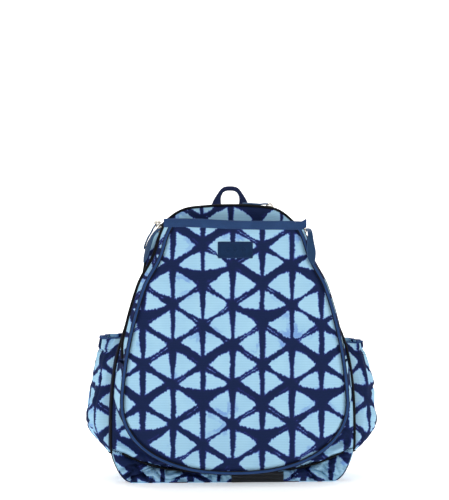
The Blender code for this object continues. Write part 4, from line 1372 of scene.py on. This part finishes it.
def make_pulls():
    """Sliders and pulls: two on the sleeve and two on the main zip."""
    front_y = (FLAP_TAPE[1] + DOOR_TAPE[0]) / 2
    x, _, z = PLACE["front_pull_right_swing"]
    rise = math.atan2(z - SLEEVE_CZ, x - SLEEVE_CX)
    for side, sign, angle, shift, ring_side in (
            ("right", 1, rise, (0.0, -0.002, -0.002), (0, 1, 0)),
            ("left", -1, math.pi - rise, (-0.001, 0.0, -0.002), (0, 0, 1))):
        place, out, along = frame_of((SLEEVE_CX * sign, SLEEVE_CZ), SLEEVE_R + 0.001, angle)
        place.y = front_y
        target = Vector((x * sign, front_y, z)) + Vector(shift)
        make_slider(f"front_slider_{side}", place, out, along, target, ring_side, 0.0042, 0.0012)
    y = PANEL_Y - 0.0031
    forward = [(x + 0.0002, front_y - 0.0025, z), (x + 0.0004, -0.0965, z - 0.0012),
               (x + 0.0008, -0.1060, z - 0.0040), (x + 0.0012, y + 0.0004, z - 0.0095),
               (x + 0.0018, y, z - 0.020), (x + 0.0026, y, z - 0.034),
               (x + 0.0034, y, z - 0.046), (x + 0.0044, y + 0.0002, z - 0.0550)]
    widths = (0.0070, 0.0074, 0.0078, 0.0082, 0.0100, 0.0140, 0.0108, 0.0030)
    leaf_pull("front_pull_right", forward, widths, (1, 0, 0))
    drop = [(-x - out_by, front_y, z - down) for out_by, down in (
        (0.0, 0.0), (0.006, 0.003), (0.012, 0.011), (0.017, 0.023), (0.020, 0.034), (0.0225, 0.043),
        (0.025, 0.0515))]
    leaf_pull("front_pull_left", drop, PULL_WIDTH, (-0.45, 0.893, 0))
    main_y = (MAIN_FRONT[1] + MAIN_REAR[0]) / 2
    for node, pull, joint, radius, sweep in (
            ("main_slider_left", "main_pull_left", "main_slider_left_travel", CORNER_R, math.radians(34)),
            ("main_slider_top", "main_pull_top", "main_slider_top_travel", TOP_R, 0.045 / TOP_R)):
        centre = PLACE[joint]
        pivot = PLACE[f"{pull}_swing"]
        angle = math.atan2(pivot[2] - centre[2], pivot[0] - centre[0])
        place, out, along = frame_of((centre[0], centre[2]), radius, angle)
        place.y = main_y
        hang = Vector((pivot[0], main_y, pivot[2]))
        hang = hang.lerp(settled(hang), FOLLOW) + along * 0.0012
        place = place.lerp(settled(place), FOLLOW)
        make_slider(node, place, out, along, hang, tuple(along) if node.endswith("left") else (0, 1, 0),
                    0.0034 if node.endswith("left") else 0.0028)
        lift = math.hypot(pivot[0] - centre[0], pivot[2] - centre[2])
        route = []
        for t in np.linspace(0.06, 1.0, 7):
            lie = lift + 0.0004 - (lift - radius - 0.0034) * smooth((t - 0.06) / 0.35)
            spot, _, _ = frame_of((centre[0], centre[2]), lie, angle + sweep * t)
            spot.y = main_y
            route.append(tuple(spot.lerp(settled(spot), FOLLOW)))
        leaf_pull(pull, route, PULL_WIDTH, (0, 1, 0))


# ------------------------------------------------------------------ back, straps and handle
def lay_as_seen(piece):
    """Lays a piece's weave on it as seen from behind."""
    lay_flat(piece, points_of(piece)[:, [0, 2]])


def inflate(piece, voxel, pressure, cap):
    """Remeshes a pad and blows it up a little as cloth, no point moving further than cap."""
    bpy.context.view_layer.objects.active = piece
    piece.data.remesh_voxel_size = voxel
    remesh = piece.modifiers.new("even_mesh", "REMESH")
    remesh.mode = "VOXEL"
    remesh.voxel_size = voxel
    with bpy.context.temp_override(object=piece, active_object=piece):
        bpy.ops.object.modifier_apply(modifier=remesh.name)
    start = points_of(piece)
    cloth = piece.modifiers.new("stuffing", "CLOTH")
    cloth.settings.use_pressure = True
    cloth.settings.uniform_pressure_force = pressure
    cloth.settings.effector_weights.gravity = 0.0
    cloth.settings.quality = 5
    cloth.point_cache.frame_start = 1
    cloth.point_cache.frame_end = 20
    for number in range(1, 21):
        bpy.context.scene.frame_set(number)
    depsgraph = bpy.context.evaluated_depsgraph_get()
    blown = piece.evaluated_get(depsgraph).to_mesh()
    end = np.zeros(len(blown.vertices) * 3)
    blown.vertices.foreach_get("co", end)
    piece.evaluated_get(depsgraph).to_mesh_clear()
    piece.modifiers.remove(cloth)
    bpy.context.scene.frame_set(1)
    move = end.reshape(-1, 3) - start
    move *= np.minimum(1.0, cap / np.maximum(np.linalg.norm(move, axis=1), 1e-9))[:, None]
    piece.data.vertices.foreach_set("co", (start + move).ravel())
    piece.data.update()


def pad_block(name, low, high):
    """A rounded block that starts a pad in the given box; its back rests on the back panel."""
    inset, thick, corner = 0.003, 0.008, 0.016
    low_z, high_z = low.z + inset, high.z - inset
    middle = np.array([0.0, (low_z + high_z) / 2])
    outline = rounded(2 * (high.x - inset), high_z - low_z, corner, 6, middle)
    sections = []
    for share, shrink in ((0.0, 0.002), (0.45, 0.0), (0.8, 0.0015), (1.0, 0.006)):
        loop = middle + (outline - middle) * (1 - shrink / np.abs(outline - middle).max(axis=0))
        sections.append(at_depth(loop, low.y - 0.001 + thick * share))
    return tube(name, np.array(sections))


def make_back():
    """The mesh back panel, its two air pads with sewn channels, and the yoke."""
    loop = resample(body_loop(), 0.0045, closed=True) * np.array([REAR_X, REAR_Z])
    share = np.concatenate([[0.0, 0.015, 0.04], np.linspace(0.08, 1.0, 30)])
    xz, from_edge = inside_rim(loop, share, 0.18, 0.2)
    y = BACK_LOW.y + 0.0045 + 0.0105 * dome(from_edge / 0.010) + 0.0006 * rough(xz, 0.05, 3.0)
    points = np.stack([xz[..., 0], np.minimum(y, BACK_HIGH.y), np.maximum(xz[..., 1], 0.0004)], -1)
    piece = grid("back_panel_mesh", points, xz, closed_columns=True, thick=0.004)
    close_middle(piece, 0.05, 0.10, 0.26)
    finish_piece(piece, MESH, "root", ("back_panel",))
    for node in ("back_pad_upper", "back_pad_lower"):
        low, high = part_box(node)
        pad = pad_block(f"{node}_block", low, high)
        inflate(pad, voxel=0.0045, pressure=4.0, cap=0.006)
        spots = points_of(pad)
        spots[:, 1] = np.maximum(spots[:, 1], low.y - 0.002)
        outer = smooth((spots[:, 1] - low.y) / 0.004)
        for seam in (1, 2):
            line = low.z + (high.z - low.z) / 3 * seam + 0.006 * np.sin(spots[:, 0] * 18.0)
            spots[:, 1] -= outer * 0.0045 * np.exp(-((spots[:, 2] - line) / 0.0042) ** 2)
        spots[:, 1] -= outer * 0.0040 * np.exp(-(spots[:, 0] / 0.005) ** 2)
        pad.data.vertices.foreach_set("co", spots.ravel())
        lay_as_seen(pad)
        pad.name = f"{node}_cushion"
        soft = pad.modifiers.new("round", "SUBSURF")
        soft.levels = soft.render_levels = 1
        finish_piece(pad, MESH, "root", (node,))
    low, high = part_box("strap_yoke")
    x = np.linspace(low.x, high.x, 70)
    z = np.linspace(low.z, high.z, 26)
    gx, gz = np.meshgrid(x, z)
    edge = np.minimum(high.x - np.abs(gx), np.minimum(gz - low.z, high.z - gz))
    y = low.y + 0.0006 + 0.0034 * smooth(edge / 0.006) + 0.0004 * rough(pairs(gx, gz), 0.02, 4.0)
    yoke = grid("yoke", np.stack([gx, y, gz], -1), pairs(gx, gz), thick=0.0015)
    finish_piece(yoke, STRAP_CLOTH, "root", ("strap_yoke",))
    for k, inset in enumerate((0.0035, 0.0065)):
        size = (high.x - low.x - 2 * inset, high.z - low.z - 2 * inset)
        run = rounded(*size, 0.003, 4, (0.0, (low.z + high.z) / 2))
        path = at_depth(np.vstack([run, run[:1]]), low.y + 0.0038)
        stitches(f"yoke_stitch_{k}", path, 0.0034, 0.0005, "root")
    for side, sign in SIDES:
        low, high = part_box(f"strap_wing_{side}")
        outline = [(-0.026, -0.0205), (0.014, -0.0165), (0.016, 0.0215), (-0.004, 0.0155)]
        middle = Vector((sign * 0.154, (low.y + high.y) / 2, 0.0505))
        axes = (Vector((sign, 0, 0)), Vector((0, 0, 1)), Vector((0, 1, 0)))
        wing = bevelled_plate(f"wing_{side}", outline, 0.0022, middle, axes, 0.0008)
        lay_as_seen(wing)
        finish_piece(wing, STRAP_CLOTH, "root", (f"strap_wing_{side}",))


STRAP_TOP, STRAP_END, STRAP_Y = 0.388, 0.128, 0.1015   # heights of the pad's ends, and its depth
STRAP_LENGTH = STRAP_TOP - STRAP_END
WEB_WIDTH = 0.0215


def strap_line(sign, t):
    """The middle of a strap's pad, from its top (t = 0) to its end (t = 1)."""
    x = sign * (0.052 + 0.030 * np.sin(math.pi * t * 0.75))
    return np.array([x, STRAP_Y + 0.0055 * np.sin(math.pi * t), STRAP_TOP - STRAP_LENGTH * t])


def make_straps():
    """Padded shoulder straps with a bound edge, their ladder locks and the webbing below them."""
    for side, sign in SIDES:
        steps = np.linspace(0.0, 1.0, 90)
        sections, flats = [], []
        edge_in, edge_out = [], []
        for t in steps:
            centre = strap_line(sign, t)
            along = strap_line(sign, min(t + 0.01, 1.0)) - strap_line(sign, max(t - 0.01, 0.0))
            along /= np.linalg.norm(along)
            through = np.cross(along, (1.0, 0.0, 0.0))
            through /= np.linalg.norm(through)
            if through[1] < 0:
                through = -through
            half = (0.058 + 0.006 * math.sin(math.pi * t) - 0.022 * t ** 3) / 2
            end = min(t, 1 - t) * STRAP_LENGTH
            full = 0.0052 * dome((end + 0.0008) / 0.010)
            loop, flat = [], []
            for face in (1, -1):
                for k in range(21):
                    u = -1 + 2 * k / 20
                    depth = full * (0.28 + 0.72 * dome((1 - abs(u)) * half / 0.009))
                    depth += 0.0004 * noise.noise(Vector((u * half * 40, t * 12, sign * 3.0 + face)))
                    spot = centre + np.array((1.0, 0.0, 0.0)) * u * half * face + through * depth * face
                    loop.append(spot)
                    flat.append((u * half, t * STRAP_LENGTH))
            sections.append(loop)
            flats.append(flat)
            edge_in.append(centre - np.array((half, 0.0, 0.0)))
            edge_out.append(centre + np.array((half, 0.0, 0.0)))
        body = f"shoulder_strap_{side}"
        pad = tube(f"strap_pad_{side}", np.array(sections), np.array(flats))
        finish_piece(pad, MESH_NAVY, body, (f"shoulder_strap_{side}",))
        for name, edge in (("inner", edge_in), ("outer", edge_out)):
            swept(f"strap_{name}_binding_{side}", edge, 0.0026, body, BINDING)
        low = strap_line(sign, 1.0)
        tail = [(low[0], STRAP_Y + 0.0008 * math.sin(t * 9), 0.176 - 0.050 * t)
                for t in np.linspace(0.0, 1.0, 14)]
        strip_web(f"strap_tail_{side}", tail, 0.0018, body)
        lock_low, lock_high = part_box(f"ladder_lock_{side}")
        make_lock(side, (lock_low + lock_high) / 2, body)
        route = np.array([(sign * 0.150, 0.0925, 0.046), (sign * 0.134, 0.0965, 0.058),
                          (sign * 0.112, STRAP_Y, 0.076), (low[0] + sign * 0.006, STRAP_Y, 0.0995)])
        lengths = run_along(route)
        run = [spline_point(lengths, route, lengths[-1] * t) for t in np.linspace(0.0, 1.0, 24)]
        strip_web(f"adjuster_web_{side}", run, 0.0016, "root", (f"strap_webbing_{side}",))


def strip_web(name, route, thick, body, nodes=()):
    """A flat webbing strip through 3-D points, its width along X."""
    route = np.array(route, float)
    along = np.gradient(route, axis=0)
    along /= np.linalg.norm(along, axis=1)[:, None]
    through = np.cross(along, (1.0, 0.0, 0.0))
    through /= np.linalg.norm(through, axis=1)[:, None]
    profile = rounded(WEB_WIDTH, thick, thick * 0.45, 3)
    across = profile[None, :, :1] * np.array([1.0, 0, 0])
    sections = route[:, None, :] + across + profile[None, :, 1:] * through[:, None]
    flat = pairs(run_along(route)[:, None], profile[None, :, 0])
    finish_piece(tube(name, sections, flat), WEBBING, body, nodes)


def make_lock(side, centre, body):
    """A ladder lock: a rounded frame with a middle bar."""
    outline = rounded(0.036, 0.025, 0.004, 5) * np.array([0.86, 0.80])
    rim = [(centre.x + a, centre.y, centre.z + b) for a, b in outline]
    bar = [(centre.x + 0.0150 * u, centre.y + 0.0012 * (1 - u * u), centre.z + 0.001575)
           for u in np.linspace(-1, 1, 9)]
    parts = [wire("lock_rim", rim, 0.0026, 10, closed=True), wire("lock_bar", bar, 0.0016, 8)]
    finish_piece(join(f"lock_{side}", parts), PLASTIC, body, (f"ladder_lock_{side}",))


def make_handle():
    """A webbing loop that is flat where it is sewn and folded in two at the grip."""
    _, y, z = PLACE["carry_handle_swing"]
    steps = math.pi * (0.5 - 0.5 * np.cos(np.linspace(0.0, math.pi, 90)))
    sections, flats = [], []
    run = 0.0
    last = None
    for t in steps:
        rise = math.sin(t)
        lean = 0.0034 * smooth(rise / 0.5)
        swing = math.copysign(abs(math.cos(t)) ** 0.62, math.cos(t))
        centre = Vector((0.0228 * swing + lean, y, z + 0.0545 * max(rise, 0.0) ** 0.85))
        out = Vector((math.cos(t), 0.0, math.sin(t)))
        fold = smooth((rise - 0.36) / 0.50)
        wide = 0.0092 * (1 - fold) + 0.0040 * fold
        deep = 0.0015 * (1 - fold) + 0.0064 * fold
        run += (centre - last).length if last else 0.0
        last = centre
        loop, flat = [], []
        for k in range(28):
            a = k * 2 * math.pi / 28
            box = max(abs(math.cos(a)), abs(math.sin(a))) ** 0.72
            u, v = math.cos(a) / box * 0.96, math.sin(a) / box * 0.96
            seam = 0.0007 * fold * math.exp(-(((a - math.pi) % (2 * math.pi)) / 0.22) ** 2)
            loop.append(tuple(centre + out * (u * wide + seam) + Vector((0.0, v * deep, 0.0))))
            flat.append((run, (k if k < 14 else 28 - k) * 0.0011))
        sections.append(loop)
        flats.append(flat)
    piece = tube("handle_loop", np.array(sections), np.array(flats))
    finish_piece(piece, WEBBING, "carry_handle", ("carry_handle",))
    low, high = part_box("handle_anchor")
    middle = (low + high) / 2
    profile = rounded(high.z - low.z, 0.0018, 0.0008, 3)
    xs = np.linspace(low.x, high.x, 30)
    sections = np.zeros((len(xs), len(profile), 3))
    sections[..., 0] = xs[:, None]
    sections[..., 1] = middle.y + profile[None, :, 1]
    sections[..., 2] = middle.z + profile[None, :, 0]
    anchor = tube("handle_tape", sections, pairs(xs[:, None], sections[..., 2]))
    finish_piece(anchor, WEBBING, "root", ("handle_anchor",))
    for k, mid in enumerate((-0.022, 0.022)):
        path = [(mid + 0.0075 * a, high.y + 0.0001, middle.z + 0.0045 * b)
                for a, b in ((-1, -1), (1, -1), (1, 1), (-1, 1), (-1, -1), (1, 1))]
        stitches(f"anchor_stitch_{k}", path, 0.0030, 0.0005, "root")


def make_rib_patch():
    """The ribbed rubbery patch at the foot of the front."""
    low, high = PATCH_LOW, PATCH_HIGH
    gx, gz = np.meshgrid(np.linspace(low.x, high.x, 60), np.linspace(low.z, high.z, 120))
    edge = np.minimum(np.minimum(gx - low.x, high.x - gx), np.minimum(gz - low.z, high.z - gz))
    rib = 0.5 + 0.5 * np.sin(gz * 2 * math.pi / PATCH_RIB)
    y = low.y + 0.0004 - (0.0006 * rib + 0.0006) * smooth(edge / 0.0012) + 0.0004 * np.sin(gx * 55.0)
    piece = grid("rib_patch", np.stack([gx, y - 0.0016, gz], -1), pairs(gx, gz), thick=0.0015, flip=True)
    finish_piece(piece, RIBBED, "root", ("base_rib_patch",))


def make_board():
    """The stiff board inside the base keeps its CAD shape and gets its material."""
    board = bpy.data.objects["base_board"]
    board.data.materials.clear()
    board.data.materials.append(BOARD)


# ------------------------------------------------------------------ camera, light and floor
def make_stage():
    """A white sweep that curves up behind the object."""
    half, bend_y, radius = 9.0, 2.2, 0.9
    profile = [(y, 0.0) for y in np.linspace(-half, bend_y, 30)]
    for a in np.linspace(0.0, math.pi / 2, 24)[1:]:
        profile.append((bend_y + radius * math.sin(a), radius * (1 - math.cos(a))))
    profile += [(bend_y + radius, radius + 0.5 * k) for k in range(1, 6)]
    profile = np.array(profile)
    points = np.zeros((len(profile), 12, 3))
    points[..., 0] = np.linspace(-half, half, 12)[None, :]
    points[..., 1:] = profile[:, None, :]
    floor = grid("studio_sweep", points, flip=True)
    material, tree, shader = new_material("white_paper", (0.93, 0.93, 0.93), 0.9, specular=0.1)
    _, vector = object_place(tree)
    grain = noise_at(tree, vector, 300.0, 2.0)
    paint(tree, shader, mix(tree, grain, (0.92, 0.92, 0.92), (0.95, 0.95, 0.95)))
    shader.inputs["Emission Color"].default_value = (1.0, 1.0, 1.0, 1.0)
    shader.inputs["Emission Strength"].default_value = 0.455
    finish_piece(floor, material)


def area_light(name, place, target, size, power):
    """A soft rectangular lamp at a place, turned towards its target."""
    light = bpy.data.lights.new(name, "AREA")
    light.shape = "RECTANGLE"
    light.size, light.size_y = size
    light.energy = power
    lamp = link(name, light)
    lamp.location = place
    lamp.rotation_euler = (Vector(target) - Vector(place)).to_track_quat("-Z", "Y").to_euler()


def make_view():
    """The photo's camera, the soft lights round the object and the pale surroundings."""
    data = bpy.data.cameras.new("camera")
    data.lens = 105.5
    data.sensor_width = 36.0
    data.clip_end = 30.0
    camera = link("camera", data)
    camera.location = (-0.139, -2.305, 0.357)
    camera.rotation_euler = (math.radians(90.0), 0.0, math.radians(-3.2))
    bpy.context.scene.camera = camera
    world = bpy.data.worlds.new("studio")
    world.use_nodes = True
    world.node_tree.nodes["Background"].inputs["Color"].default_value = (1.0, 1.0, 1.0, 1.0)
    world.node_tree.nodes["Background"].inputs["Strength"].default_value = 0.37
    bpy.context.scene.world = world
    bpy.context.scene.view_settings.view_transform = "Standard"
    area_light("key", (-1.4, -2.3, 2.2), (0, 0, 0.2), (1.6, 1.6), 22.0)
    area_light("fill", (1.9, -1.9, 1.4), (0, 0, 0.2), (1.6, 1.6), 10.5)
    area_light("top", (0.0, 0.2, 2.6), (0, 0, 0.0), (2.0, 2.0), 19.0)
    area_light("backdrop", (0.0, 0.9, 2.4), (0, 2.0, 0.6), (3.0, 1.0), 60.0)


make_stage()
make_view()
make_racket_panel()
make_binding()
make_gussets()
make_sleeve_zips()
make_band()
make_label()
make_shell()
make_front()
make_base()
make_main_zip()
make_pockets()
make_pulls()
make_back()
make_straps()
make_handle()
make_rib_patch()
make_board()

bpy.context.view_layer.update()
